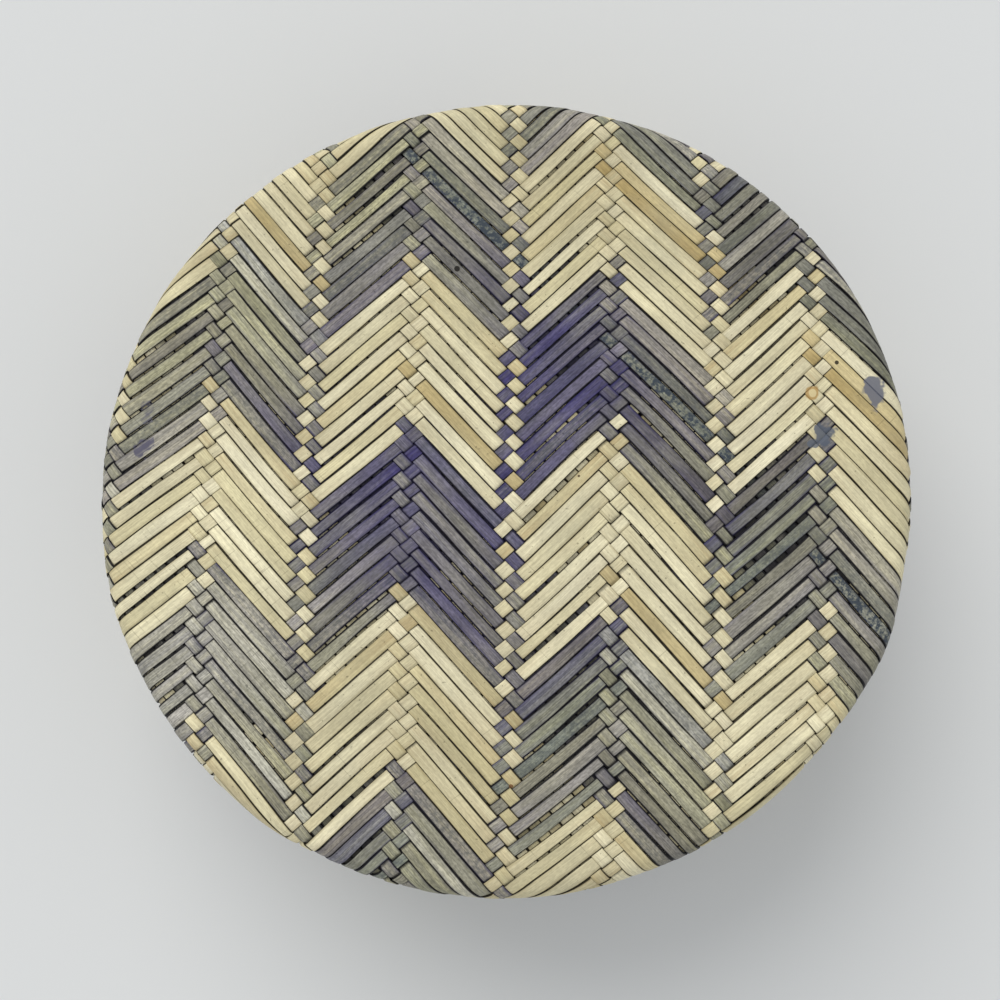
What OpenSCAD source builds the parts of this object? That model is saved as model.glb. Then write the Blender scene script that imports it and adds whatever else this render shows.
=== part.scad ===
// Round lidded splint basket: a plaited lid with a zigzag twill top that
// telescopes over a plaited base, both bound at the rim with lashed cane hoops.
// Millimetres, +Z up, origin at the middle of the foot on the table.

/* [Lid] */
// Outer diameter of the lid's woven skirt
lid_d = 250; // [200:1:300]
// Height of the lid from its flat top to the lower edge of its skirt
lid_h = 44; // [30:1:70]
// Outer radius of the soft shoulder where the top turns into the skirt
shoulder_r = 6; // [5:0.5:10]
// Diameter of the round cane inside the shoulder
shoulder_hoop_d = 3; // [2:0.1:3.6]

/* [Base] */
// Height of the base from the table to the edge of its rim
base_h = 96; // [80:1:140]
// Outer radius of the heel where the floor turns up into the wall
heel_r = 5.5; // [5.2:0.1:8]
// Height of the floor's underside above the table
floor_lift = 1.3; // [1.2:0.1:4]
// Height of the foot hoop
foot_h = 12; // [10:0.5:20]
// Thickness of the foot hoop
foot_t = 3; // [2.4:0.1:5]

/* [Lid splints] */
// Spacing of the lid's splints
splint_pitch = 4.4; // [4.2:0.1:6]
// Width of one lid splint
splint_w = 3.9; // [3:0.1:4]
// Thickness of one lid splint
splint_t = 0.5; // [0.3:0.05:0.7]
// Splints that one long float passes over
float_n = 8; // [4:1:10]
// Neighbouring splints of one colour
group_n = 9; // [4:1:12]
// Number of the rising splint at the middle of the lid
rising_mid = 7.8; // [0:0.1:18]
// Number of the falling splint at the middle of the lid
falling_mid = 7.4; // [0:0.1:18]

/* [Floor splints] */
// Spacing of the floor's splints
floor_pitch = 8.6; // [8:0.1:14]
// Width of one floor splint
floor_w = 7.8; // [5:0.1:7.8]
// Thickness of one floor splint
floor_t = 0.7; // [0.4:0.05:1]

/* [Lining] */
// Thickness of the inner mat that backs the woven skins
lining_t = 1.2; // [0.8:0.1:2]

/* [Rims] */
// Height of a rim hoop
hoop_h = 7; // [5:0.5:10]
// Thickness of an outer rim hoop at its middle
outer_hoop_t = 2.4; // [1.8:0.1:3]
// Thickness of an inner hoop at its middle
inner_hoop_t = 1.8; // [1.4:0.1:2.4]
// Lashing loops round each rim
lash_n = 40; // [24:1:56]
// Width of a lashing strand
lash_w = 3; // [1.5:0.1:4]
// Thickness of a lashing strand
lash_t = 0.6; // [0.4:0.05:0.8]
// Corner cut of a lashing loop
lash_corner = 1.3; // [0.6:0.1:1.4]

/* [Fits] */
// Gap between pieces that are bound together
fit = 0.12; // [0.1:0.01:0.2]
// Gap between crossing splints
layer_gap = 0.06; // [0.04:0.01:0.1]
// Radial play between the lid's lashing and the base's rim
lid_play = 0.8; // [0.5:0.1:2]
// Gap between the lid's lining and the base's rim when it is closed
seat_gap = 0.3; // [0.3:0.05:0.6]

/* [Hidden] */
$fn = 96;

natural_col = [0.86, 0.81, 0.64];
dyed_col = [0.42, 0.39, 0.46];
lining_col = [0.74, 0.66, 0.46];
cane_col = [0.70, 0.55, 0.33];
lash_col = [0.80, 0.68, 0.45];

// Two crossing layers of splints make one woven skin
weave_t = 2 * splint_t + layer_gap;
floor_weave_t = 2 * floor_t + layer_gap;

// Radii of the lid, from the outside in
lid_r = lid_d / 2;
lid_flat_r = lid_r - shoulder_r;
lid_skirt_in = lid_r - weave_t;
lid_lining_out = lid_skirt_in - fit;
lid_lining_in = lid_lining_out - lining_t;
lid_inner_hoop_out = lid_lining_in - fit;
lid_inner_hoop_in = lid_inner_hoop_out - inner_hoop_t;
lid_loop_in = lid_inner_hoop_in - fit;
lid_clear_r = lid_loop_in - lash_t;
lid_outer_hoop_in = lid_r + fit;
lid_outer_hoop_out = lid_outer_hoop_in + outer_hoop_t;
lid_loop_out = lid_outer_hoop_out + fit;

// Radii of the base, from the lid's clear opening in
base_loop_out = lid_clear_r - lid_play - lash_t;
base_outer_hoop_out = base_loop_out - fit;
base_outer_hoop_in = base_outer_hoop_out - outer_hoop_t;
base_r = base_outer_hoop_in - fit;
base_wall_in = base_r - weave_t;
base_lining_out = base_wall_in - fit;
base_lining_in = base_lining_out - lining_t;
base_inner_hoop_out = base_lining_in - fit;
base_inner_hoop_in = base_inner_hoop_out - inner_hoop_t;
base_loop_in = base_inner_hoop_in - fit;
base_flat_r = base_r - heel_r;
foot_in = base_r + fit;
foot_out = foot_in + foot_t;
foot_loop_out = foot_out + fit;

// A slot is a little closer to its strand than the hoops are, so it never grazes an edge
slot_fit = 0.6 * fit;

// Heights of the base, from the table up
floor_lining_z = floor_lift + floor_weave_t + fit;
heel_top = floor_lift + heel_r;
base_hoop_z = base_h - hoop_h;
foot_loop_low = floor_lift - fit - splint_t / 2;
foot_loop_high = foot_h + fit;

// Heights of the lid: its lining lies just above the base's lashed rim
lid_lining_z = base_h + fit + lash_t + seat_gap;
lid_weave_z = lid_lining_z + lining_t + fit;
lid_top = lid_weave_z + weave_t;
lid_rim = lid_top - lid_h;
shoulder_z = lid_top - shoulder_r;
lid_hoop_top = lid_rim + hoop_h;

// The zigzag twill repeats after two long floats and four single checks
twill_period = 2 * float_n + 4;

function wrap(a, n) = a - n * floor(a / n);
function odd_group(i) = wrap(floor(i / group_n), 2) == 1;

// A rising splint lies on top of a falling one: long float, or a single check
function twill_over(k) = let (m = wrap(k, twill_period))
    m == 0 || m == float_n + 3 || (m >= 2 && m <= float_n + 1);

// The floor is a plain two-over, two-under twill
function floor_over(k) = wrap(k, 4) < 2;

function rising_on_top(k, fine) = fine ? twill_over(k) : floor_over(k);

// Side profile of one splint: level runs with a short step in the gap
// between two crossing splints; along = +1 or -1 is how their numbers run
function crossing_s(n, mid, pitch, along) = along * (n - mid) * pitch;
function level(i, n, rising, fine, rise) =
    let (on_top = rising ? rising_on_top(i - n, fine) : !rising_on_top(n - i, fine))
    on_top ? rise : -rise;
function splint_line(i, half, mid, pitch, gap, rising, fine, rise) =
    let (along = rising ? -1 : 1)
    let (first = mid - along * half / pitch)
    let (count = ceil(2 * half / pitch))
    let (start = along > 0 ? floor(first) : ceil(first))
    let (levels = [for (c = [0:count + 1]) level(i, start + along * c, rising, fine, rise)])
    let (places = [for (c = [0:count + 1]) crossing_s(start + along * c, mid, pitch, along)])
    concat(
        [[places[0] - pitch / 2, levels[0]]],
        [for (c = [0:count]) if (levels[c] != levels[c + 1])
            each [[(places[c] + places[c + 1] - gap) / 2, levels[c]],
                  [(places[c] + places[c + 1] + gap) / 2, levels[c + 1]]]],
        [[places[count + 1] + pitch / 2, levels[count + 1]]]
    );
function thicken(line, t) = concat(
    [for (p = line) [p[0], p[1] + t / 2]],
    [for (n = [len(line) - 1:-1:0]) [line[n][0], line[n][1] - t / 2]]
);

module splint(i, mid, cross_mid, r, pitch, w, t, rising, fine) {
    away = (i - mid) * pitch;
    half = sqrt(r * r - pow(max(0, abs(away) - w / 2), 2));
    line = splint_line(i, half, cross_mid, pitch, pitch - w, rising, fine, (t + layer_gap) / 2);
    rotate([0, 0, rising ? 45 : -45])
    translate([0, -away, 0])
    rotate([90, 0, 0])
    linear_extrude(height = w, center = true)
    polygon(thicken(line, t));
}

// Flat-sided round cut, so that every splint keeps flat faces
module round_cut(r, h) {
    linear_extrude(height = h, center = true)
    polygon([for (n = [0:71]) r * [cos(5 * n), sin(5 * n)]]);
}

// All splints of one direction and colour that reach the flat of the mat
module mat(r, pitch, w, t, rising, fine, mid, cross_mid, dyed) {
    reach = floor((r - w / 4) / pitch);
    intersection() {
        union() {
            for (i = [ceil(mid) - reach - 1:floor(mid) + reach + 1]) {
                shows = abs(i - mid) * pitch < r - w / 4;
                is_dyed = rising ? !odd_group(i) : odd_group(i);
                if (shows && (!fine || is_dyed == dyed))
                    splint(i, mid, cross_mid, r, pitch, w, t, rising, fine);
            }
        }
        round_cut(r, 4 * t);
    }
}

module lid_mat(rising, dyed) {
    mid = rising ? rising_mid : falling_mid;
    cross_mid = rising ? falling_mid : rising_mid;
    translate([0, 0, lid_weave_z + weave_t / 2])
    mat(lid_flat_r - fit, splint_pitch, splint_w, splint_t, rising, true, mid, cross_mid, dyed);
}

module floor_mat(rising) {
    translate([0, 0, floor_lift + floor_weave_t / 2])
    mat(base_flat_r - fit, floor_pitch, floor_w, floor_t, rising, false, 0, 0, false);
}

// Flat band of a lining
module band(r_in, r_out, z_low, z_high) {
    rotate_extrude()
    translate([r_in, z_low])
    square([r_out - r_in, z_high - z_low]);
}

// Half-round hoop section, flat side at x = 0 and round side towards +x
module half_round(h, t) {
    r = (h * h / 4 + t * t) / (2 * t);
    intersection() {
        translate([t - r, h / 2])
        circle(r = r);
        translate([0, -h])
        square([2 * t, 3 * h]);
    }
}

module outer_hoop(r_in, z, h, t) {
    rotate_extrude()
    translate([r_in, z])
    half_round(h, t);
}

module inner_hoop(r_out, z, h, t) {
    rotate_extrude()
    translate([r_out, z])
    mirror([1, 0])
    half_round(h, t);
}

// One lashing loop round a hollow; grow thickens it into its own slot
function cut_rect(x0, x1, y0, y1, c) = [
    [x0 + c, y0], [x1 - c, y0], [x1, y0 + c], [x1, y1 - c],
    [x1 - c, y1], [x0 + c, y1], [x0, y1 - c], [x0, y0 + c]
];
module lash_loop(r_in, r_out, z_low, z_high, grow) {
    out = lash_t + grow;
    rotate([90, 0, 0])
    linear_extrude(height = lash_w + 2 * grow, center = true)
    difference() {
        polygon(cut_rect(r_in - out, r_out + out, z_low - out, z_high + out, lash_corner + lash_t / 2));
        polygon(cut_rect(r_in + grow, r_out - grow, z_low + grow, z_high - grow, lash_corner));
    }
}
module lash_row(r_in, r_out, z_low, z_high, grow) {
    for (n = [0:lash_n - 1])
        rotate([0, 0, (n + 0.5) * 360 / lash_n])
        lash_loop(r_in, r_out, z_low, z_high, grow);
}

module lid_rim_loops(grow) {
    lash_row(lid_loop_in, lid_loop_out, lid_rim - fit, lid_hoop_top + fit, grow);
}
module base_rim_loops(grow) {
    lash_row(base_loop_in, base_loop_out, base_hoop_z - fit, base_h + fit, grow);
}
module foot_loops(grow) {
    lash_row(base_loop_in, foot_loop_out, foot_loop_low, foot_loop_high, grow);
}

module lid_rising_natural_splints() {
    color(natural_col) lid_mat(true, false);
}

module lid_rising_dyed_splints() {
    color(dyed_col) lid_mat(true, true);
}

module lid_falling_natural_splints() {
    color(natural_col) lid_mat(false, false);
}

module lid_falling_dyed_splints() {
    color(dyed_col) lid_mat(false, true);
}

// The same splints turned down over the shoulder, as one closed woven wall
module lid_skirt_weave() {
    color(natural_col)
    difference() {
        rotate_extrude() {
            intersection() {
                translate([lid_flat_r, shoulder_z])
                difference() {
                    circle(r = shoulder_r);
                    circle(r = shoulder_r - weave_t);
                }
                translate([lid_flat_r, shoulder_z])
                square(shoulder_r);
            }
            translate([lid_skirt_in, lid_rim])
            square([weave_t, shoulder_z - lid_rim]);
        }
        lid_rim_loops(slot_fit);
    }
}

module lid_top_lining() {
    color(lining_col)
    translate([0, 0, lid_lining_z])
    cylinder(r = lid_flat_r, h = lining_t);
}

module lid_wall_lining() {
    color(lining_col)
    difference() {
        band(lid_lining_in, lid_lining_out, lid_rim, shoulder_z);
        lid_rim_loops(slot_fit);
    }
}

// Round cane tucked into the shoulder from inside
module lid_shoulder_hoop() {
    reach = (shoulder_r - weave_t - fit - shoulder_hoop_d / 2) * sin(45);
    color(cane_col)
    rotate_extrude()
    translate([lid_flat_r + reach, shoulder_z + reach])
    circle(d = shoulder_hoop_d);
}

module lid_rim_outer_hoop() {
    color(cane_col) outer_hoop(lid_outer_hoop_in, lid_rim, hoop_h, outer_hoop_t);
}

module lid_rim_inner_hoop() {
    color(cane_col) inner_hoop(lid_inner_hoop_out, lid_rim, hoop_h, inner_hoop_t);
}

module lid_rim_lashing() {
    color(lash_col) lid_rim_loops(0);
}

module base_floor_rising_splints() {
    color(natural_col) floor_mat(true);
}

module base_floor_falling_splints() {
    color(natural_col) floor_mat(false);
}

module base_floor_lining() {
    color(lining_col)
    translate([0, 0, floor_lining_z])
    cylinder(r = base_flat_r - fit, h = lining_t);
}

// The floor's splints turned up over the heel, as one closed woven wall
module base_wall_weave() {
    color(natural_col)
    difference() {
        rotate_extrude() {
            intersection() {
                translate([base_flat_r, heel_top])
                difference() {
                    circle(r = heel_r);
                    circle(r = heel_r - weave_t);
                }
                translate([base_flat_r, floor_lift])
                square(heel_r);
            }
            translate([base_wall_in, heel_top])
            square([weave_t, base_h - heel_top]);
        }
        base_rim_loops(slot_fit);
        foot_loops(slot_fit);
    }
}

module base_wall_lining() {
    color(lining_col)
    difference() {
        band(base_lining_in, base_lining_out, heel_top, base_h);
        base_rim_loops(slot_fit);
        foot_loops(slot_fit);
    }
}

module base_rim_outer_hoop() {
    color(cane_col) outer_hoop(base_outer_hoop_in, base_hoop_z, hoop_h, outer_hoop_t);
}

module base_rim_inner_hoop() {
    color(cane_col) inner_hoop(base_inner_hoop_out, base_hoop_z, hoop_h, inner_hoop_t);
}

module base_rim_lashing() {
    color(lash_col) base_rim_loops(0);
}

// Standing ring: flat foot, rounded outer top edge, notched for the lashing
module base_foot_outer_hoop() {
    color(cane_col)
    difference() {
        rotate_extrude() {
            translate([foot_in, 0])
            square([foot_t, foot_h - foot_t]);
            intersection() {
                translate([foot_in, foot_h - foot_t])
                circle(r = foot_t);
                translate([foot_in, foot_h - foot_t])
                square(foot_t);
            }
        }
        foot_loops(slot_fit);
    }
}

module base_foot_inner_hoop() {
    color(cane_col) inner_hoop(base_inner_hoop_out, heel_top, foot_h - heel_top, inner_hoop_t);
}

module base_foot_lashing() {
    color(lash_col) foot_loops(0);
}

lid_rising_natural_splints();
lid_rising_dyed_splints();
lid_falling_natural_splints();
lid_falling_dyed_splints();
lid_skirt_weave();
lid_top_lining();
lid_wall_lining();
lid_shoulder_hoop();
lid_rim_outer_hoop();
lid_rim_inner_hoop();
lid_rim_lashing();
base_floor_rising_splints();
base_floor_falling_splints();
base_floor_lining();
base_wall_weave();
base_wall_lining();
base_rim_outer_hoop();
base_rim_inner_hoop();
base_rim_lashing();
base_foot_outer_hoop();
base_foot_inner_hoop();
base_foot_lashing();
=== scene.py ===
"""Round lidded splint basket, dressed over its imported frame.

The lid's top is a zigzag twill of natural and dyed splints that bend over a soft shoulder and run
on down the skirt. The base has a plaited wall of the same splints, a coarser floor and linings,
and cane hoops bound on with lashing loops. Sizes come from the frame, in metres.
"""

import logging
import math
from dataclasses import dataclass, replace
from enum import Enum
from functools import cached_property

import bpy
import numpy as np
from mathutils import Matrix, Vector


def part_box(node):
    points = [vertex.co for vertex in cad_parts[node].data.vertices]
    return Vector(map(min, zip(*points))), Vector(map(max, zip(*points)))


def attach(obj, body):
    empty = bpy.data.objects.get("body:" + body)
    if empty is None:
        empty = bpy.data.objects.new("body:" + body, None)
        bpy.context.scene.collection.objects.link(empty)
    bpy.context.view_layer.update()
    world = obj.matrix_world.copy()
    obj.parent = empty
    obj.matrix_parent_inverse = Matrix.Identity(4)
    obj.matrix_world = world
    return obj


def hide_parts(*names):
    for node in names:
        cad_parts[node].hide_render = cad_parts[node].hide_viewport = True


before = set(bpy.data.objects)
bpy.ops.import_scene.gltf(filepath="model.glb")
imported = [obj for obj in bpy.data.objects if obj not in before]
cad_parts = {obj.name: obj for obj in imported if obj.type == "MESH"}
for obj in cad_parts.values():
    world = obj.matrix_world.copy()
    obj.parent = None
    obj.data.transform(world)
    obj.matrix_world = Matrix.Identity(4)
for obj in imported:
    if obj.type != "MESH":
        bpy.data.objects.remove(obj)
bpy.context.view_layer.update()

LOG = logging.getLogger("basket")
MM = 0.001
Colour = tuple[float, float, float]
Socket = bpy.types.NodeSocket


class Run(Enum):
    """Direction of a set of splints, as seen on the photographed top."""

    RISING = "rising"
    FALLING = "falling"

    def order(self, across: np.ndarray, along: np.ndarray) -> tuple[np.ndarray, np.ndarray]:
        """Numbers across and along this set, as numbers of the rising and of the falling set."""
        return (across, along) if self is Run.RISING else (along, across)


class Shade(Enum):
    """Whether a splint was dyed before it was plaited."""

    NATURAL = "natural"
    DYED = "dyed"


class Body(Enum):
    """The two loose halves of the basket."""

    LID = "lid"
    BASE = "base"


class Slot(Enum):
    """Material slot names."""

    NATURAL = "natural_splint"
    DYED = "dyed_splint"
    LINING = "lining"
    CANE = "cane"
    LASHING = "lashing"


def srgb(red: int, green: int, blue: int) -> Colour:
    """Turns a screen colour into linear light.

    Args:
        red: Red, 0 to 255.
        green: Green, 0 to 255.
        blue: Blue, 0 to 255.

    Returns:
        The linear colour, 0 to 1.
    """
    shares = [channel / 255 for channel in (red, green, blue)]
    return tuple(s / 12.92 if s <= 0.04045 else ((s + 0.055) / 1.055) ** 2.4 for s in shares)


def ease(value: np.ndarray) -> np.ndarray:
    """Smooth step from 0 to 1 of a value that may lie outside that range."""
    share = np.clip(value, 0.0, 1.0)
    return share * share * (3.0 - 2.0 * share)


def hermite(knots: np.ndarray, values: np.ndarray, at: np.ndarray) -> np.ndarray:
    """Smooth curve through values at knots, running on straight past both ends.

    Args:
        knots: Rising parameters of the given values, shape (k,).
        values: Points at the knots for every sample, shape (k, n, 2).
        at: Parameter of each sample, shape (n,).

    Returns:
        The points on the curve, shape (n, 2).
    """
    slopes = np.gradient(values, knots, axis=0)
    inside = np.clip(at, knots[0], knots[-1])
    low = np.clip(np.searchsorted(knots, inside, side="right") - 1, 0, len(knots) - 2)
    width = knots[low + 1] - knots[low]
    t = ((inside - knots[low]) / width)[:, None]
    width = width[:, None]
    rows = np.arange(len(at))
    first, last = values[low, rows], values[low + 1, rows]
    leave, arrive = slopes[low, rows] * width, slopes[low + 1, rows] * width
    curve = (
        first * (2 * t**3 - 3 * t**2 + 1)
        + leave * (t**3 - 2 * t**2 + t)
        + last * (3 * t**2 - 2 * t**3)
        + arrive * (t**3 - t**2)
    )
    end_slope = np.where((at < knots[0])[:, None], slopes[0], slopes[-1])
    return curve + end_slope * (at - inside)[:, None]


# Weaves


class Weave:
    """Order of overs and unders: which set lies on top where two splints cross."""

    def rising_on_top(self, gap: np.ndarray) -> np.ndarray:
        """Says whether the rising splint is on top.

        Args:
            gap: Number of the rising splint less that of the falling one.

        Returns:
            True where the rising splint is on top.
        """
        return np.mod(gap, 2) == 0


class FloorTwill(Weave):
    """Over two, under two."""

    def rising_on_top(self, gap: np.ndarray) -> np.ndarray:
        """True where the rising splint is on top."""
        return np.mod(gap, 4) < 2


class ZigzagTwill(Weave):
    """Long floats that turn in columns, with one check on each side of every turn."""

    float_n = 8

    def rising_on_top(self, gap: np.ndarray) -> np.ndarray:
        """True where the rising splint is on top."""
        place = np.mod(gap, 2 * self.float_n + 4)
        long_float = (place >= 2) & (place <= self.float_n + 1)
        return (place == 0) | long_float | (place == self.float_n + 3)


# Surfaces that the splints lie on


class Surface:
    """A sheet that the crossings of two splint sets lie on."""

    def place(self, rising: np.ndarray, falling: np.ndarray) -> tuple[np.ndarray, np.ndarray]:
        """Finds points and outward normals.

        Args:
            rising: Numbers along the rising set, any shape.
            falling: Numbers along the falling set, same shape.

        Returns:
            Points in metres and unit normals, each with a last axis of 3.
        """
        raise NotImplementedError

    def beyond(self, rising: np.ndarray, falling: np.ndarray) -> np.ndarray:
        """Distance past the sheet's edge in metres, negative on the sheet."""
        raise NotImplementedError

    def strain(self, points: np.ndarray, normals: np.ndarray) -> np.ndarray:
        """How strongly splints are bent at each place, 0 to 1."""
        return np.zeros(points.shape[:-1])


@dataclass
class LidCap(Surface):
    """The lid's outer sheet: a flat top, a soft shoulder and an upright skirt."""

    radius: float
    shoulder: float
    top: float
    rim: float
    thick: float
    oval: float = 1.4 * MM
    lean: float = 0.2
    # Least width of the oval, and the ripples of its edge: height, count and start; shares of the oval
    least: float = 1.05
    ripples: tuple[float, int, float] = (0.05, 13, 0.4)
    # Bulges of the edge: place in degrees, and size as a share of the oval
    bulges: tuple[tuple[float, float], ...] = ((18, 0.25), (194, 0.4), (233, 0.5), (272, 0.3), (338, 1.0))
    bulge_spread: float = 0.14
    # Share of the skirt's height over which the oval turns round again
    rounding: float = 1.15
    # Sag of the top: depth, rate and start of its waves along x and y, and the level band at its edge
    sag: float = 0.35 * MM
    sag_x: tuple[float, float] = (34, 0.7)
    sag_y: tuple[float, float] = (29, -0.4)
    level_band: float = 20 * MM
    # Depth below the shoulder at which splints lie straight again, in shoulders
    straight_after: float = 3
    # Where the turns of the zigzag lie on the top, in millimetres from the lid's middle: one line
    # for each column of turns, one point for every eighth row from the back to the front
    columns: tuple[int, ...] = (-30, -20, -10, 0, 10, 20, 30)
    rows: tuple[int, ...] = (-12, -4, 4, 12, 20, 28)
    turns: tuple[tuple[tuple[float, float], ...], ...] = (
        ((-87, 118.6), (-90.2, 76.1), (-93.2, 31), (-97.2, -15.2), (-98, -63.3), (-96.5, -112)),
        ((-58, 115.5), (-60.9, 71.5), (-63.1, 26.1), (-65.9, -19.8), (-66.5, -68.8), (-67.3, -120.2)),
        ((-29.7, 113.7), (-30, 70.1), (-32.1, 24.2), (-33.9, -22.5), (-34.4, -71.7), (-36.9, -121.9)),
        ((0.9, 110.2), (1.4, 67.3), (-0.8, 21.7), (-0.6, -27.7), (-1.1, -77.3), (-4.8, -126.1)),
        ((30.4, 110), (31.9, 67.1), (32, 22), (32.2, -29.4), (31.4, -80.4), (28.9, -130.6)),
        ((60.5, 106.4), (63.6, 64.2), (65.5, 18), (64.6, -33), (64.9, -84.4), (63.5, -135)),
        ((90.9, 104.9), (94.6, 62.7), (97.5, 15.1), (97.5, -37.2), (96.8, -89.2), (96.1, -141)),
    )

    @property
    def bend(self) -> float:
        """Radius of the shoulder at the middle of the sheet."""
        return self.shoulder - self.thick / 2

    @property
    def depth(self) -> float:
        """Length of sheet from the flat top's edge down to the rim."""
        return self.bend * math.pi / 2 + (self.top - self.shoulder) - self.rim

    def lay_flat(self, rising: np.ndarray, falling: np.ndarray) -> np.ndarray:
        """Finds crossings on the sheet before it is bent down.

        Args:
            rising: Numbers along the rising set, shape (n,).
            falling: Numbers along the falling set, shape (n,).

        Returns:
            Flat points in metres, shape (n, 2).
        """
        knots_v = np.array(self.rows, float)
        knots_u = np.array(self.columns, float)
        across, down = rising - falling, (rising + falling) / 2
        lines = [
            hermite(knots_v, np.repeat(np.array(line, float)[:, None], len(down), axis=1), down)
            for line in self.turns
        ]
        return hermite(knots_u, np.stack(lines), across) * MM

    def edge(self, angle: np.ndarray) -> np.ndarray:
        """Radius of the flat top: slightly oval with a few bulges, and never inside the shoulder cane."""
        height, count, start = self.ripples
        wave = self.least + np.cos(2 * (angle - self.lean)) + height * np.sin(count * angle + start)
        for place, size in self.bulges:
            apart = np.mod(angle - math.radians(place) + math.pi, 2 * math.pi) - math.pi
            wave = wave + size * np.exp(-((apart / self.bulge_spread) ** 2))
        return self.radius - self.shoulder + self.oval * wave

    def beyond(self, rising: np.ndarray, falling: np.ndarray) -> np.ndarray:
        """Distance past the rim in metres, negative on the sheet."""
        flat = self.lay_flat(rising.ravel(), falling.ravel())
        run = np.hypot(flat[:, 0], flat[:, 1]) - self.edge(np.arctan2(flat[:, 1], flat[:, 0]))
        return (run - self.depth).reshape(rising.shape)

    def place(self, rising: np.ndarray, falling: np.ndarray) -> tuple[np.ndarray, np.ndarray]:
        """Points and normals on the top, round the shoulder and down the skirt."""
        flat = self.lay_flat(rising.ravel(), falling.ravel())
        angle = np.arctan2(flat[:, 1], flat[:, 0])
        edge = self.edge(angle)
        reach = np.hypot(flat[:, 0], flat[:, 1])
        run = np.maximum(reach - edge, 0.0)
        turn = np.minimum(run / self.bend, math.pi / 2)
        drop = np.maximum(run - self.bend * math.pi / 2, 0.0)
        straight = self.top - self.shoulder - self.rim
        fade = 1.0 - ease(drop / straight * self.rounding)
        round_edge = self.radius - self.shoulder
        radius = np.minimum(reach, round_edge + (edge - round_edge) * fade) + self.bend * np.sin(turn)
        radius = np.where(run > 0, radius, reach)
        height = self.top - self.thick / 2 - self.bend * (1 - np.cos(turn)) - drop
        (rate_x, start_x), (rate_y, start_y) = self.sag_x, self.sag_y
        dish = np.sin(flat[:, 0] * rate_x + start_x) * np.cos(flat[:, 1] * rate_y + start_y)
        height += self.sag * dish * ease((edge - reach) / self.level_band)
        toward = np.stack([np.cos(angle), np.sin(angle)], axis=1)
        points = np.column_stack([toward * radius[:, None], height])
        normals = np.column_stack([toward * np.sin(turn)[:, None], np.cos(turn)])
        return points.reshape(*rising.shape, 3), normals.reshape(*rising.shape, 3)

    def strain(self, points: np.ndarray, normals: np.ndarray) -> np.ndarray:
        """Splints are bent round the shoulder, and settle again down the skirt."""
        below = self.top - self.shoulder - points[..., 2]
        settled = ease(below / (self.straight_after * self.shoulder))
        return np.hypot(normals[..., 0], normals[..., 1]) * (1.0 - settled)


@dataclass
class BiasWall(Surface):
    """An upright round wall plaited on the bias, drawn in at the heel."""

    radius: float
    top: float
    heel_top: float
    heel: float
    bottom: float
    around: int
    # Most of the heel's arc that the splints run down, as a share of its radius
    sink_most: float = 0.95

    @property
    def step(self) -> float:
        """Width of one crossing round the wall."""
        return 2 * math.pi * self.radius / self.around

    def fall(self, rising: np.ndarray, falling: np.ndarray) -> np.ndarray:
        """Length of wall between the rim and a crossing."""
        return (rising + falling) * self.step

    def beyond(self, rising: np.ndarray, falling: np.ndarray) -> np.ndarray:
        """Distance past the upper or lower edge, negative on the wall."""
        down = self.fall(rising, falling)
        length = self.top - self.heel_top + math.asin(self.sink) * self.heel
        return np.maximum(-down, down - length)

    @property
    def sink(self) -> float:
        """How far down the heel's arc the splints run, as a share of its radius."""
        return min(self.sink_most, (self.heel_top - self.bottom) / self.heel)

    def place(self, rising: np.ndarray, falling: np.ndarray) -> tuple[np.ndarray, np.ndarray]:
        """Points and normals on the wall and round the heel."""
        angle = (rising - falling) * 2 * math.pi / self.around
        down = self.fall(rising, falling)
        straight = self.top - self.heel_top
        turn = np.clip((down - straight) / self.heel, 0.0, math.pi / 2)
        radius = self.radius - self.heel * (1 - np.cos(turn))
        height = self.top - np.minimum(down, straight) - self.heel * np.sin(turn)
        out = np.cos(turn)
        points = np.stack([radius * np.cos(angle), radius * np.sin(angle), height], axis=-1)
        normals = np.stack([out * np.cos(angle), out * np.sin(angle), -np.sin(turn)], axis=-1)
        return points, normals


@dataclass
class FlatMat(Surface):
    """A flat round mat, its splints at 45 degrees, or square to the lid when turned."""

    radius: float
    height: float
    pitch: float
    facing: float = 1.0
    turned: float = math.pi / 4

    def flat(self, rising: np.ndarray, falling: np.ndarray) -> tuple[np.ndarray, np.ndarray]:
        """Plan position of a crossing."""
        cos, sin = math.cos(self.turned) * self.pitch, math.sin(self.turned) * self.pitch
        return falling * cos + rising * sin, falling * sin - rising * cos

    def beyond(self, rising: np.ndarray, falling: np.ndarray) -> np.ndarray:
        """Distance past the mat's round edge, negative on the mat."""
        return np.hypot(*self.flat(rising, falling)) - self.radius

    def place(self, rising: np.ndarray, falling: np.ndarray) -> tuple[np.ndarray, np.ndarray]:
        """Points and normals on the mat."""
        x, y = self.flat(rising, falling)
        points = np.stack([x, y, np.full_like(x, self.height)], axis=-1)
        normals = np.zeros_like(points)
        normals[..., 2] = self.facing
        return points, normals


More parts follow.
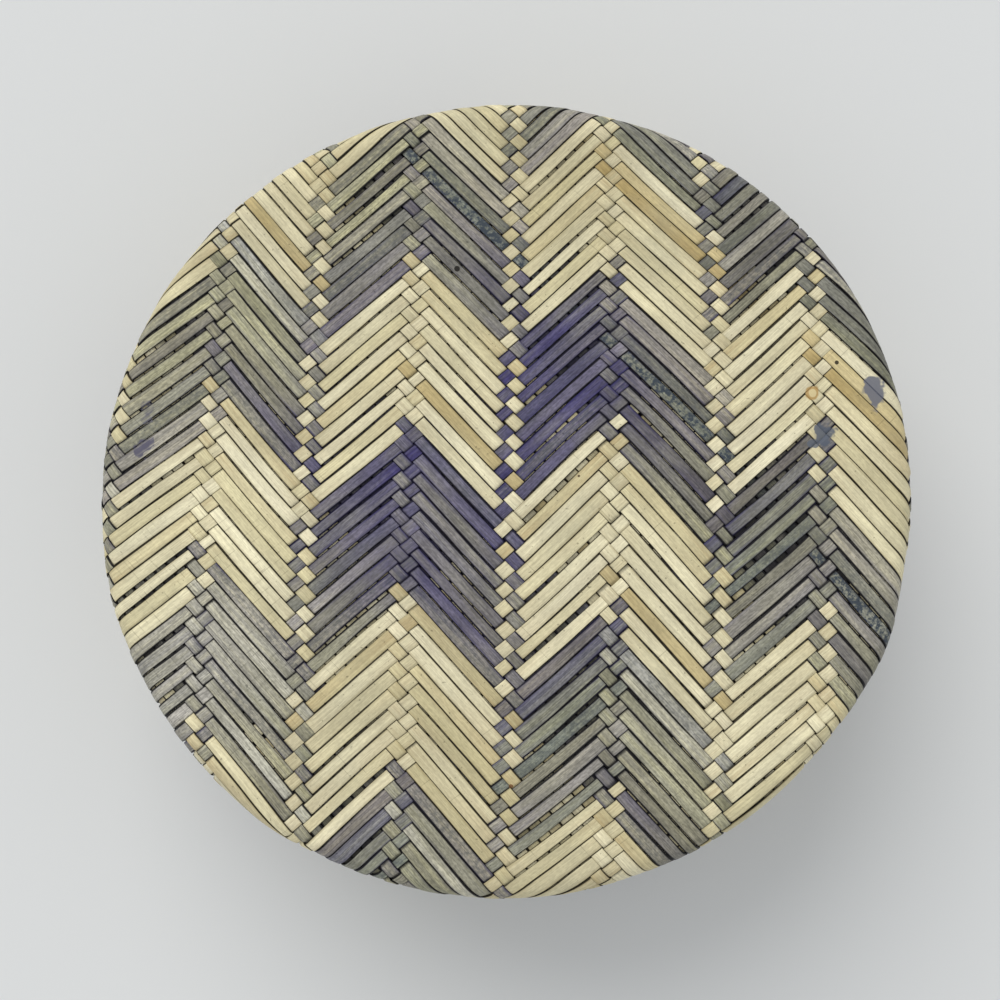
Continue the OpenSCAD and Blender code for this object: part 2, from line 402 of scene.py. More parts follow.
@dataclass
class LiningTube(Surface):
    """An upright lining of stakes and rings; its good side faces the inside."""

    radius: float
    low: float
    high: float
    around: int
    rings: int

    @property
    def pitch(self) -> float:
        """Height of one ring."""
        return (self.high - self.low) / self.rings

    def beyond(self, rising: np.ndarray, falling: np.ndarray) -> np.ndarray:
        """Distance past the upper or lower edge, or past one full turn, negative on the lining."""
        upright = np.maximum(-0.5 - falling, falling + 0.5 - self.rings) * self.pitch
        turn = np.maximum(-rising, rising - self.around) * 2 * math.pi * self.radius / self.around
        return np.maximum(upright, turn)

    def place(self, rising: np.ndarray, falling: np.ndarray) -> tuple[np.ndarray, np.ndarray]:
        """Points and inward normals on the lining."""
        angle = rising * 2 * math.pi / self.around
        height = self.low + (falling + 0.5) * self.pitch
        points = np.stack([self.radius * np.cos(angle), self.radius * np.sin(angle), height], axis=-1)
        normals = np.stack([-np.cos(angle), -np.sin(angle), np.zeros_like(angle)], axis=-1)
        return points, normals


# Splints


@dataclass(frozen=True)
class SplintCut:
    """How a set of splints is split and how loosely it lies."""

    thick: float
    rise: float
    # Tightest and widest gap beside a splint, as a share of the spacing
    rising_gaps: tuple[float, float]
    falling_gaps: tuple[float, float]
    crowding: float = 2.4
    stray: float = 0.05
    sway: float = 0.018
    bow: float = 0.0
    tilt: float = 0.0
    # How far the stiffest splints stand off where they bend over an edge
    spring: float = 0.0
    steps: tuple[float, ...] = (0.0, 0.34, 0.44, 0.56, 0.66)
    slope: float = 0.16


@dataclass(frozen=True)
class StripLook:
    """Colour of one splint: tint, the dye or stain it holds, slate mottling, and dye near the middle."""

    tint: Colour
    soak: float
    mottle: float = 0.0
    dye: float = 0.0


class Palette:
    """Chooses the look of each splint of a set."""

    def shade(self, run: Run, number: int) -> Shade:
        """Natural or dyed, by the splint's number."""
        return Shade.NATURAL

    def look(self, run: Run, number: int, rng: np.random.Generator) -> StripLook:
        """Draws the look of one splint.

        Args:
            run: Which set the splint belongs to.
            number: Its place in the set.
            rng: Seeded source of the differences between splints.

        Returns:
            The splint's look.
        """
        raise NotImplementedError

    def fade(self, look: StripLook, shade: Shade, points: np.ndarray) -> tuple[np.ndarray, np.ndarray]:
        """Spreads a look over a splint's points.

        Args:
            look: The splint's look.
            shade: Whether it is dyed.
            points: Points in metres, shape (n, 3).

        Returns:
            Tints, shape (n, 3), and soak, shape (n,).
        """
        return np.tile(look.tint, (len(points), 1)), np.full(len(points), look.soak)


# Profile of a splint, anticlockwise from its lower left: shares of its width and thickness
PROFILE = (
    (-0.5, -0.5), (0.5, -0.5), (0.5, 0.1), (0.46, 0.4), (0.22, 0.5), (-0.22, 0.5), (-0.46, 0.4), (-0.5, 0.1)
)


@dataclass(frozen=True)
class Parting:
    """A place where a splint has slipped away from the next one of its set."""

    run: Run
    number: int
    at: float
    reach: float
    width: float


class Seams:
    """The gaps between neighbouring splints of one set: many tight, a few wide, none overlapping."""

    # How a gap swells along the splints, and how both its edges wander: share, rate, and turns of its phase
    swell = (0.4, 0.19, 7)
    waves = ((1.0, 0.23, 1), (0.6, 0.61, 3))

    def __init__(self, numbers: range, partings: tuple[Parting, ...], rng: np.random.Generator) -> None:
        """Draws each gap's width, place and wander."""
        self.first = numbers.start
        self.partings = partings
        self.draws = rng.uniform(size=(len(numbers), 3))

    def edge(self, run: Run, number: int, hand: int, at: np.ndarray, cut: SplintCut) -> np.ndarray:
        """Finds one long edge of a splint.

        Args:
            run: Which set the splint belongs to.
            number: Its place in the set.
            hand: 1 for the edge beside the next splint, -1 for the edge beside the one before.
            at: Places along the splint.
            cut: How it is split.

        Returns:
            The edge's place in the set at each place along.
        """
        width, place, phase = self.draws[(number - self.first - (hand < 0)) % len(self.draws)]
        turn = 2 * math.pi * phase
        tight, wide = cut.rising_gaps if run is Run.RISING else cut.falling_gaps
        share, rate, turns = self.swell
        swell = 1.0 + share * np.sin(at * rate + turns * turn)
        gap = (tight + (wide - tight) * width**cut.crowding) * swell
        for parting in self.partings:
            if parting.run is run and parting.number == number - (hand < 0):
                gap = gap + parting.width * np.exp(-(((at - parting.at) / parting.reach) ** 2))
        wander = sum(share * np.sin(at * rate + turns * turn) for share, rate, turns in self.waves)
        return number + hand * (0.5 - gap / 2) + cut.stray * (2 * place - 1) + cut.sway * wander


class RibbonMesh:
    """Gathers plaited splints into one mesh with their run, tint, wear and painted shade."""

    # Rings of points: where they lie along a float, the least distance between two, and the most turn
    float_steps = (0.0, 0.5)
    least_step = 0.02
    most_turn = math.radians(14)
    # Shortest float that bows up, and the reach and most slant of a splint's cut end, in crossings
    bowing_float = 2.5
    end_reach = 1.5
    end_slant = 1.5
    # How fast a splint's tilt changes along it, and the most that chance shifts it
    tilt_rate = 0.31
    phase_most = 6.28
    # Dye and stain at the ends of a float, and what its middle loses of them
    end_soak = 1.7
    middle_loss = 1.05
    # Level below which a splint gets painted shade, where it dips under its neighbours
    dip_shade_level = 0.2

    def __init__(self) -> None:
        """Starts with no splints."""
        self.points: list[np.ndarray] = []
        self.faces: list[list[int]] = []
        self.runs: list[np.ndarray] = []
        self.tints: list[np.ndarray] = []
        self.wear: list[np.ndarray] = []
        self.mottles: list[np.ndarray] = []
        self.count = 0

    def stations(
        self, levels: np.ndarray, first: int, low: float, high: float, cut: SplintCut
    ) -> np.ndarray:
        """Chooses where a splint needs a ring of points.

        Args:
            levels: 1 or -1 at each crossing from the first.
            first: Number of the first crossing.
            low: Start of the splint.
            high: End of the splint.
            cut: The splint's cut.

        Returns:
            Rising places along the splint, in crossings.
        """
        marks = [low, high]
        for index in range(len(levels) - 1):
            even = levels[index] == levels[index + 1]
            marks.extend(first + index + share for share in (self.float_steps if even else cut.steps))
        marks = np.array(sorted(marks))
        marks = marks[(marks >= low) & (marks <= high)]
        keep = np.append(True, np.diff(marks) > self.least_step)
        return marks[keep]

    def heights(
        self, levels: np.ndarray, first: int, at: np.ndarray, cut: SplintCut
    ) -> tuple[np.ndarray, np.ndarray]:
        """Level of a splint between -1, under, and 1, over, with long floats bowed up a little.

        Args:
            levels: 1 or -1 at each crossing from the first.
            first: Number of the first crossing.
            at: Places along the splint.
            cut: The splint's cut.

        Returns:
            The level at each place, and how far out on a long float it is, 0 at its ends to 1.
        """
        index = np.clip(np.floor(at).astype(int) - first, 0, len(levels) - 2)
        share = ease((at - first - index - 0.5 + cut.slope) / (2 * cut.slope))
        level = levels[index] + (levels[index + 1] - levels[index]) * share
        changes = np.flatnonzero(np.diff(levels)) + 0.5
        ends = np.concatenate([[-0.5], changes, [len(levels) - 0.5]]) + first
        part = np.clip(np.searchsorted(ends, at) - 1, 0, len(ends) - 2)
        length = ends[part + 1] - ends[part]
        out = np.clip((at - ends[part]) / length, 0, 1)
        bowed = np.sin(math.pi * out) * (length > self.bowing_float)
        return level + cut.bow * bowed * (level > 0), bowed

    def add(
        self, plait: "Plait", run: Run, number: int, cut: SplintCut, seams: Seams, rng: np.random.Generator
    ) -> None:
        """Plaits one splint over and under its neighbours.

        Args:
            plait: Sheet, weave and colours.
            run: Which set the splint belongs to.
            number: Its place in the set.
            cut: How it is split.
            seams: Gaps beside it.
            rng: Seeded source of its differences.
        """
        surface, palette, span = plait.surface, plait.palette, plait.span
        phase, seed = rng.uniform(0, self.phase_most), rng.uniform()
        look = palette.look(run, number, rng)
        ends = self.ends(surface, run, number, span)
        if ends is None:
            return
        low, high = ends
        first = math.floor(low) - 1
        crossings = np.arange(first, math.ceil(high) + 2)
        gaps = number - crossings if run is Run.RISING else crossings - number
        on_top = plait.weave.rising_on_top(gaps)
        levels = np.where(on_top if run is Run.RISING else ~on_top, 1.0, -1.0)
        at = self.refine(surface, run, number, self.stations(levels, first, low, high, cut))
        level, floating = self.heights(levels, first, at, cut)
        across = np.array([share for share, _ in PROFILE])
        lift = np.array([share for _, share in PROFILE])
        near, far = (seams.edge(run, number, hand, at, cut)[:, None] for hand in (-1, 1))
        sides = near + (far - near) * (across + 0.5)
        left = self.ends(surface, run, number - 0.5, span) or ends
        right = self.ends(surface, run, number + 0.5, span) or ends
        reach = min(self.end_reach, (high - low) / 2)
        start, stop = (np.clip(b - a, -self.end_slant, self.end_slant) for a, b in zip(left, right))
        lean = start * ease(1 - (at - low) / reach) + stop * ease(1 - (high - at) / reach)
        along = at[:, None] + (sides - number) * lean[:, None]
        points, normals = surface.place(*run.order(sides, along))
        tilt = cut.tilt * np.sin(at * self.tilt_rate + 2 * phase)
        bent = surface.strain(points, normals).mean(axis=1) * ease(level)
        height = level[:, None] * cut.rise + lift * cut.thick + tilt[:, None] * across
        height = height + cut.spring * (seed * bent)[:, None]
        shell = (points + normals * height[..., None]).reshape(-1, 3)
        self.close(shell, len(at))
        middle = points.mean(axis=1)
        length = np.concatenate([[0], np.cumsum(np.linalg.norm(np.diff(middle, axis=0), axis=1))])
        girth = np.linalg.norm(points[:, 0] - points[:, 1], axis=1)
        self.runs.append(np.column_stack([
            np.repeat(length, len(PROFILE)), (girth[:, None] * across).ravel()
        ]))
        tint, soak = palette.fade(look, palette.shade(run, number), shell)
        soak = soak * np.repeat(self.end_soak - self.middle_loss * floating, len(PROFILE))
        self.tints.append(np.column_stack([tint, np.tile(across + 0.5, len(at))]))
        # Painted shade where the splint dips under its neighbours, stored with its seed and soak
        grime = np.repeat(ease(self.dip_shade_level - level), len(PROFILE))
        self.wear.append(np.column_stack([np.full(len(shell), seed), grime, soak]))
        self.mottles.append(np.full(len(shell), look.mottle))

    @staticmethod
    def ends(surface: Surface, run: Run, line: float, span: int) -> tuple[float, float] | None:
        """Finds where a lengthwise line of a splint leaves its sheet, a little inside the edge.

        Args:
            surface: Sheet that the splint lies on.
            run: Which set it belongs to.
            line: Place of the line in the set.
            span: Crossings to search on both sides of the middle.

        Returns:
            Both ends in crossings, or None where the line hardly touches the sheet.
        """
        trim, stride, fewest = 0.25 * MM, 0.25, 8
        tries = np.arange(-span, span + stride / 2, stride)
        past = trim + surface.beyond(*run.order(np.full_like(tries, line), tries))
        inside = np.flatnonzero(past <= 0)
        if len(inside) < fewest:
            return None
        low, high = tries[inside[0]], tries[inside[-1]]
        if inside[0] > 0:
            low -= stride * past[inside[0]] / (past[inside[0]] - past[inside[0] - 1])
        if inside[-1] < len(tries) - 1:
            high += stride * past[inside[-1]] / (past[inside[-1]] - past[inside[-1] + 1])
        return low, high

    def refine(self, surface: Surface, run: Run, number: int, at: np.ndarray) -> np.ndarray:
        """Adds places where the sheet turns sharply under a splint.

        Args:
            surface: Sheet that the splint lies on.
            run: Which set it belongs to.
            number: Its place in the set.
            at: Places chosen so far.

        Returns:
            The places with the added ones.
        """
        _, normals = surface.place(*run.order(np.full_like(at, number), at))
        turns = np.arccos(np.clip((normals[1:] * normals[:-1]).sum(axis=1), -1, 1))
        pieces = np.ceil(turns / self.most_turn).astype(int).clip(1)
        added = [
            low + (high - low) * step / count
            for low, high, count in zip(at[:-1], at[1:], pieces)
            for step in range(count)
        ]
        return np.append(added, at[-1])

    def close(self, shell: np.ndarray, rings: int) -> None:
        """Adds the closed skin of one splint.

        Args:
            shell: Points of its rings, in order.
            rings: Number of rings.
        """
        sides = len(PROFILE)
        start = self.count
        for ring in range(rings - 1):
            base = start + ring * sides
            for side in range(sides):
                after = (side + 1) % sides
                self.faces.append([base + side, base + after, base + sides + after, base + sides + side])
        self.faces.append([start + side for side in reversed(range(sides))])
        self.faces.append([start + (rings - 1) * sides + side for side in range(sides)])
        self.points.append(shell)
        self.count += len(shell)

    def build(self, name: str) -> bpy.types.Object:
        """Makes the mesh object.

        Args:
            name: Name of the piece.

        Returns:
            The new object.
        """
        mesh = bpy.data.meshes.new(name)
        mesh.from_pydata(np.concatenate(self.points).tolist(), [], self.faces)
        lay_run(mesh, np.concatenate(self.runs))
        for carried, kind, field, values in (
            ("strip_tint", "FLOAT_COLOR", "color", self.tints),
            ("strip_wear", "FLOAT_VECTOR", "vector", self.wear),
            ("strip_mottle", "FLOAT", "value", self.mottles),
        ):
            layer = mesh.attributes.new(carried, kind, "POINT")
            layer.data.foreach_set(field, np.concatenate(values).astype(np.float32).ravel())
        piece = bpy.data.objects.new(name, mesh)
        bpy.context.scene.collection.objects.link(piece)
        finish_mesh(piece)
        return piece


def lay_run(mesh: bpy.types.Mesh, runs: np.ndarray) -> None:
    """Gives a mesh its run: metres along and across a strip at each of its points.

    Args:
        mesh: Mesh of strips.
        runs: The run of each point, shape (n, 2).
    """
    layer = mesh.uv_layers.new(name="run")
    corners = np.empty(len(mesh.loops), dtype=np.int32)
    mesh.loops.foreach_get("vertex_index", corners)
    layer.data.foreach_set("uv", runs[corners].astype(np.float32).ravel())


def pick(piece: bpy.types.Object) -> None:
    """Makes a piece the only one selected, and active."""
    bpy.ops.object.select_all(action="DESELECT")
    piece.select_set(True)
    bpy.context.view_layer.objects.active = piece


def finish_mesh(piece: bpy.types.Object, angle: float = 38.0) -> None:
    """Turns a piece's faces outwards and smooths its gentle edges.

    Args:
        piece: Piece with closed shells.
        angle: Steepest edge that still looks smooth, in degrees.
    """
    pick(piece)
    bpy.ops.object.mode_set(mode="EDIT")
    bpy.ops.mesh.select_all(action="SELECT")
    bpy.ops.mesh.normals_make_consistent(inside=False)
    bpy.ops.object.mode_set(mode="OBJECT")
    bpy.ops.object.shade_smooth_by_angle(angle=math.radians(angle))


def seat(piece: bpy.types.Object, body: Body, slot: Slot, material: bpy.types.Material, *nodes: str) -> None:
    """Dresses a new piece, rides it on its body and hides the nodes that it stands for.

    Args:
        piece: The new piece.
        body: Body that carries it.
        slot: Material slot; not used.
        material: Its finish.
        *nodes: CAD nodes that it replaces.
    """
    piece.data.materials.clear()
    piece.data.materials.append(material)
    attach(piece, body.value)
    if nodes:
        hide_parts(*nodes)
    LOG.info("%s: %d faces on %s", piece.name, len(piece.data.polygons), body.value)


# Finishes


# Values that most of a noise lies between
NOISE = (0.3, 0.7)


class Cloud(Enum):
    """Noise over the whole basket: scale, detail and roughness."""

    BLOTCH = (70.0, 3.0, 0.5)
    WORN = (620.0, 4.0, 0.75)
    SMUDGE = (28.0, 4.0, 0.65)
    CREASE = (210.0, 2.0, 0.5)
    SPECK = (1100.0, 0.0, 0.5)
    FRAY = (240.0, 2.0, 0.55)
    HOOP_WEAR = (38.0, 4.0, 0.6)
    HOOP_FLECK = (900.0, 1.0, 0.5)
    STRAND_WEAR = (55.0, 3.0, 0.6)
    BACK_GRAIN = (600.0, 3.0, 0.5)


class Grain(Enum):
    """Noise drawn out along a splint: scale along it, scale across it, and spread between splints."""

    FIBRE = (45.0, 3200.0, 97.0)
    STREAK = (24.0, 800.0, 53.0)
    FLECK = (650.0, 1800.0, 71.0)
    PATCH = (26.0, 55.0, 37.0)
    EDGE = (20.0, 160.0, 61.0)
    RIM = (38.0, 210.0, 19.0)


class Graph:
    """A material and short ways to add nodes to it."""

    def __init__(self, name: str) -> None:
        """Starts a material with one shader."""
        self.material = bpy.data.materials.new(name)
        self.material.use_nodes = True
        self.tree = self.material.node_tree
        self.shader = self.tree.nodes["Principled BSDF"]

    @cached_property
    def spot(self) -> Socket:
        """Position on the object."""
        return self.node("ShaderNodeTexCoord", {}).outputs["Object"]

    def put(self, target: Socket, value: object) -> None:
        """Links a socket, or sets its value."""
        if isinstance(value, Socket):
            self.tree.links.new(value, target)
        elif isinstance(value, tuple) and len(value) == 3 and target.type == "RGBA":
            target.default_value = (*value, 1.0)
        else:
            target.default_value = value

    def node(self, kind: str, inputs: dict, **settings: object) -> bpy.types.Node:
        """Adds a node.

        Args:
            kind: Node type.
            inputs: Values or sockets by input name or number.
            **settings: The node's own settings.

        Returns:
            The node.
        """
        made = self.tree.nodes.new(kind)
        for key, value in settings.items():
            setattr(made, key, value)
        for key, value in inputs.items():
            self.put(made.inputs[key], value)
        return made

    def math(self, operation: str, first: object, second: object = 0.0) -> Socket:
        """Adds a Math node."""
        return self.node("ShaderNodeMath", {0: first, 1: second}, operation=operation).outputs[0]

    def vector(self, operation: str, inputs: dict) -> bpy.types.Node:
        """Adds a Vector Math node."""
        return self.node("ShaderNodeVectorMath", inputs, operation=operation)

    def remap(self, value: Socket, span: tuple[float, float], to: tuple[float, float] = (0.0, 1.0)) -> Socket:
        """Adds a smooth Map Range node.

        Args:
            value: What is mapped.
            span: Values that map to the ends.
            to: The ends.

        Returns:
            The mapped value, held between the ends.
        """
        inputs = {"Value": value, "From Min": span[0], "From Max": span[1], "To Min": to[0], "To Max": to[1]}
        return self.node("ShaderNodeMapRange", inputs, interpolation_type="SMOOTHSTEP").outputs[0]

    def mix(self, share: object, first: object, second: object) -> Socket:
        """Mixes two colours."""
        return self.node("ShaderNodeMix", {0: share, 6: first, 7: second}, data_type="RGBA").outputs[2]

    def tone(self, colour: Socket, factor: Socket) -> Socket:
        """Makes a colour darker or lighter by a factor."""
        return self.vector("SCALE", {0: colour, 3: factor}).outputs[0]

    def noise(self, vector: Socket, scale: float, detail: float, rough: float = 0.5) -> Socket:
        """Adds a Noise Texture."""
        inputs = {"Vector": vector, "Scale": scale, "Detail": detail, "Roughness": rough}
        return self.node("ShaderNodeTexNoise", inputs).outputs[0]

    def cloud(self, kind: Cloud) -> Socket:
        """Noise over the whole basket, 0 to 1."""
        return self.noise(self.spot, *kind.value)

    def combine(self, x: object, y: object, z: object) -> Socket:
        """Joins three numbers."""
        return self.node("ShaderNodeCombineXYZ", {0: x, 1: y, 2: z}).outputs[0]

    def split(self, vector: Socket) -> tuple[Socket, Socket, Socket]:
        """Takes a vector apart."""
        return tuple(self.node("ShaderNodeSeparateXYZ", {0: vector}).outputs)

    def flat(self) -> Socket:
        """Position on the object, seen from above."""
        x, y, _ = self.split(self.spot)
        return self.combine(x, y, 0.0)

    def run(self) -> tuple[Socket, Socket]:
        """Metres along and across a strip, from its own run."""
        along, across, _ = self.split(self.node("ShaderNodeUVMap", {}, uv_map="run").outputs[0])
        return along, across

    def surface(self, colour: Socket, rough: Socket, height: Socket, relief: tuple[float, float]) -> None:
        """Joins a finish to the shader.

        Args:
            colour: Base colour.
            rough: Roughness.
            height: Fine relief, 0 to 1.
            relief: Its strength, and its depth in metres.
        """
        bump = self.node("ShaderNodeBump", {"Height": height, "Strength": relief[0], "Distance": relief[1]})
        for socket, value in (("Base Color", colour), ("Roughness", rough), ("Normal", bump.outputs[0])):
            self.put(self.shader.inputs[socket], value)


class StripGraph(Graph):
    """A splint's material, with what the splint's mesh carries at hand."""

    # Spread of cracks between splints
    crack_shift = 31.0

    def __init__(self, name: str) -> None:
        """Starts the material and reads the splints' run, tint, wear and painted shade."""
        super().__init__(name)
        tint, wear, mottle = (
            self.node("ShaderNodeAttribute", {}, attribute_name=f"strip_{carried}").outputs
            for carried in ("tint", "wear", "mottle")
        )
        self.tint = tint["Color"]
        self.off_middle = self.math("ABSOLUTE", self.math("SUBTRACT", tint["Alpha"], 0.5))
        # Seed, painted shade where the splint dips under others, and dye or stain soak
        self.seed, self.grime, self.soak = self.split(wear["Vector"])
        self.mottle = mottle["Fac"]
        self.along, self.across = self.run()

    def grain(self, kind: Grain) -> Socket:
        """Noise drawn out along the splint, 0 to 1."""
        ways = zip((self.along, self.across, self.seed), kind.value)
        at = self.combine(*(self.math("MULTIPLY", way, size) for way, size in ways))
        return self.noise(at, 1.0, 2.0, 0.6)

    def cracks(self, density: float, span: tuple[float, float], most: float) -> Socket:
        """Adds fine cracks across the splint.

        Args:
            density: Cracks in a metre.
            span: Distances from a crack where it is darkest, and where it ends.
            most: How dark it is.

        Returns:
            The darkness of the cracks.
        """
        shift = self.math("MULTIPLY", self.seed, self.crack_shift)
        at = self.math("ADD", self.math("MULTIPLY", self.along, density), shift)
        settings = {"voronoi_dimensions": "1D", "feature": "DISTANCE_TO_EDGE"}
        cells = self.node("ShaderNodeTexVoronoi", {"W": at, "Scale": 1.0}, **settings)
        return self.remap(cells.outputs["Distance"], span, (most, 0.0))


@dataclass(frozen=True)
class Blemish:
    """A mark on the lid's top, placed in millimetres from its middle, as wide as its size."""

    x: float
    y: float
    size: float
    colour: Colour
    ragged: float = 0.0
    cover: float = 0.92
    # Reach of the fraying, softness of a smooth mark, and raggedness from which streaks break it up
    fraying: float = 2.2
    soft: float = 0.05
    broken_from: float = 0.7

    def stain(self, g: Graph, colour: Socket, flat: Socket, fray: Socket, streak: Socket) -> Socket:
        """Adds the mark to a finish.

        Args:
            g: The material.
            colour: Colour below the mark.
            flat: Position on the object, seen from above.
            fray: Noise that frays its edge.
            streak: Lengthwise streaks that break a ragged mark up.

        Returns:
            The colour with the mark.
        """
        size = self.size * MM
        apart = g.vector("DISTANCE", {0: flat, 1: (self.x * MM, self.y * MM, 0.0)}).outputs[1]
        wander = g.math("MULTIPLY", g.math("SUBTRACT", fray, 0.5), self.ragged * size * self.fraying)
        soft = self.soft * (1.0 + self.ragged)
        span = (size * (0.5 - soft), size * (0.5 + soft))
        cover = g.remap(g.math("ADD", apart, wander), span, (self.cover, 0.0))
        if self.ragged > self.broken_from:
            cover = g.math("MULTIPLY", cover, g.remap(streak, (0.38, 0.56), (0.25, 1.0)))
        return g.mix(cover, colour, self.colour)


# Two insect holes, their dark insides painted as shade, a knot ring, two specks and the slate-coloured stains
LID_MARKS = (
    Blemish(-15.5, 73.0, 1.8, srgb(22, 18, 14)),
    Blemish(103.6, 43.6, 1.3, srgb(30, 24, 20)),
    Blemish(96.1, 33.9, 4.2, srgb(178, 146, 92), 0.3),
    Blemish(96.1, 33.9, 2.4, srgb(212, 196, 150), 0.3),
    Blemish(22.7, 8.0, 1.0, srgb(74, 54, 40), 1.0),
    Blemish(1.4, -89.5, 1.4, srgb(120, 84, 52), 0.6),
    Blemish(116.4, 34.6, 9.0, srgb(104, 107, 120), 0.66),
    Blemish(99.8, 21.0, 6.0, srgb(88, 95, 108), 0.69),
    Blemish(96.4, 18.0, 3.0, srgb(96, 102, 112), 0.69),
    Blemish(-112.0, 29.5, 4.0, srgb(98, 97, 108), 1.0),
    Blemish(-113.0, 25.6, 3.2, srgb(104, 103, 112), 1.0),
    Blemish(-115.2, 16.6, 4.6, srgb(90, 88, 106), 1.0),
    Blemish(-112.4, 18.0, 3.0, srgb(94, 92, 108), 1.0),
)


@dataclass(frozen=True)
class Creasing:
    """A place on the shoulder where bending has creased the splints across."""

    place: tuple[float, float, float]
    reach: float


@dataclass(frozen=True)
class SplintFinish:
    """Flat split cane: lengthwise fibres, streaks of stain or dye, painted shade at the edges and where it
    dips under others, and fine cracks.
    """

    name: str
    soak: Colour
    sun: Colour = (1.16, 1.15, 1.1)
    sun_hold: float = 0.5
    # Colour towards the long edges, painted shade that on dyed splints also stands for dye held there:
    # colour, most share, and share left where little dye is held
    rim: Colour = srgb(150, 134, 88)
    rim_hold: float = 0.25
    rim_least: float = 1.0
    # Colour of painted shade in the seams and gaps, and of cracks and specks, where the splint holds little
    # dye or stain, and where it holds most
    shade_dirt_colour: Colour = srgb(30, 24, 11)
    ink: Colour = srgb(30, 24, 11)
    steeped: tuple[float, float] = (0.04, 0.34)
    slate: Colour = srgb(62, 70, 78)
    dust: Colour = srgb(150, 148, 128)
    drift: Colour = srgb(190, 180, 146)
    drift_hold: float = 0.35
    fibre_tone: float = 0.10
    fleck_tone: float = 0.08
    blotch_tone: float = 0.07
    # Painted shade in the gaps: dark lines along a splint's long edges, where they start and where they are
    # darkest across it
    edge_span: tuple[float, float] = (0.43, 0.485)
    # How far the painted-shade edge lines draw in and spread out along a splint
    edge_wander: tuple[float, float] = (-0.045, 0.05)
    # Strength of the painted-shade edge lines
    edge_shade: float = 0.96
    # Most share of painted shade and dirt together
    shade_dirt_most: float = 0.98
    # Painted shade where a splint dips under others, from low to high blotch
    under_shade: tuple[float, float] = (0.62, 0.15)
    smudge: float = 0.25
    # Cracks and creases in a metre
    crack_n: float = 42.0
    crease_n: float = 330.0
    gloss: tuple[float, float] = (0.40, 0.62)
    shine: float = 0.18
    relief: tuple[float, float] = (0.35, 0.12 * MM)
    marks: tuple[Blemish, ...] = ()
    creased: Creasing | None = None

    def make(self) -> bpy.types.Material:
        """Builds the finish on the splints' own run, tint and wear.

        Returns:
            The material.
        """
        g = StripGraph(self.name)
        fibre, streak, blotch = g.grain(Grain.FIBRE), g.grain(Grain.STREAK), g.cloud(Cloud.BLOTCH)
        steeped = g.remap(g.soak, self.steeped)
        colour = self.cane(g, fibre, streak, blotch)
        # Painted shade towards the long edges, which on dyed splints also stands for dye held at the edges
        colour = g.mix(self.rim_shade_and_dye(g, steeped), colour, self.rim)
        # Painted shade at the edges and where the splint dips under, and dirt in cracks and specks
        colour = g.mix(self.shaded_and_dirtied(g, blotch), colour, g.mix(steeped, self.shade_dirt_colour, self.ink))
        if self.marks:
            flat, fray = g.flat(), g.cloud(Cloud.FRAY)
            for mark in self.marks:
                colour = mark.stain(g, colour, flat, fray, streak)
        g.put(g.shader.inputs["Specular IOR Level"], self.shine)
        g.surface(colour, g.remap(fibre, NOISE, self.gloss), fibre, self.relief)
        return g.material

    def cane(self, g: StripGraph, fibre: Socket, streak: Socket, blotch: Socket) -> Socket:
        """Colours the cane itself.

        Args:
            g: The material.
            fibre: Fine lengthwise fibres.
            streak: Broader streaks that bleach, or hold stain and dye.
            blotch: Uneven patches.

        Returns:
            The colour, before rims and dirt.
        """
        bleached = g.vector("MULTIPLY", {0: g.tint, 1: self.sun}).outputs[0]
        colour = g.mix(g.remap(streak, (0.34, 0.56), (self.sun_hold, 0.0)), g.tint, bleached)
        drift = g.remap(g.grain(Grain.PATCH), (0.42, 0.66), (0.0, self.drift_hold))
        colour = g.mix(drift, colour, self.drift)
        hold = g.math("MULTIPLY", g.soak, g.remap(streak, (0.36, 0.66), (0.25, 1.0)))
        colour = g.mix(hold, colour, self.soak)
        fleck = g.grain(Grain.FLECK)
        for grain, depth in ((fibre, self.fibre_tone), (fleck, self.fleck_tone), (blotch, self.blotch_tone)):
            colour = g.tone(colour, g.remap(grain, (0.34, 0.66), (1 - depth, 1 + depth)))
        worn = g.math("MULTIPLY", g.mottle, g.remap(g.cloud(Cloud.WORN), (0.40, 0.60)))
        colour = g.mix(worn, colour, self.slate)
        return g.mix(g.remap(g.cloud(Cloud.SMUDGE), (0.5, 0.72), (0.0, self.smudge)), colour, self.dust)

    def rim_shade_and_dye(self, g: StripGraph, steeped: Socket) -> Socket:
        """Finds how much of the rim's colour, painted shade that on dyed splints also stands for dye held at
        the edges, shows towards a splint's long edges.

        Args:
            g: The material.
            steeped: How much dye or stain the splint holds, 0 to 1.

        Returns:
            The share.
        """
        share = g.remap(g.off_middle, (0.24, 0.5), (0.0, self.rim_hold))
        share = g.math("MULTIPLY", share, g.remap(g.grain(Grain.RIM), (0.36, 0.62), (0.1, 1.6)))
        return g.math("MULTIPLY", share, g.remap(steeped, (0.0, 1.0), (self.rim_least, 1.0)))

    def shaded_and_dirtied(self, g: StripGraph, blotch: Socket) -> Socket:
        """Finds how much painted shade and dirt a splint gets: painted shade at its edges and where it dips
        under others, dirt in cracks and specks.

        Args:
            g: The material.
            blotch: Uneven patches.

        Returns:
            The share of painted shade and dirt.
        """
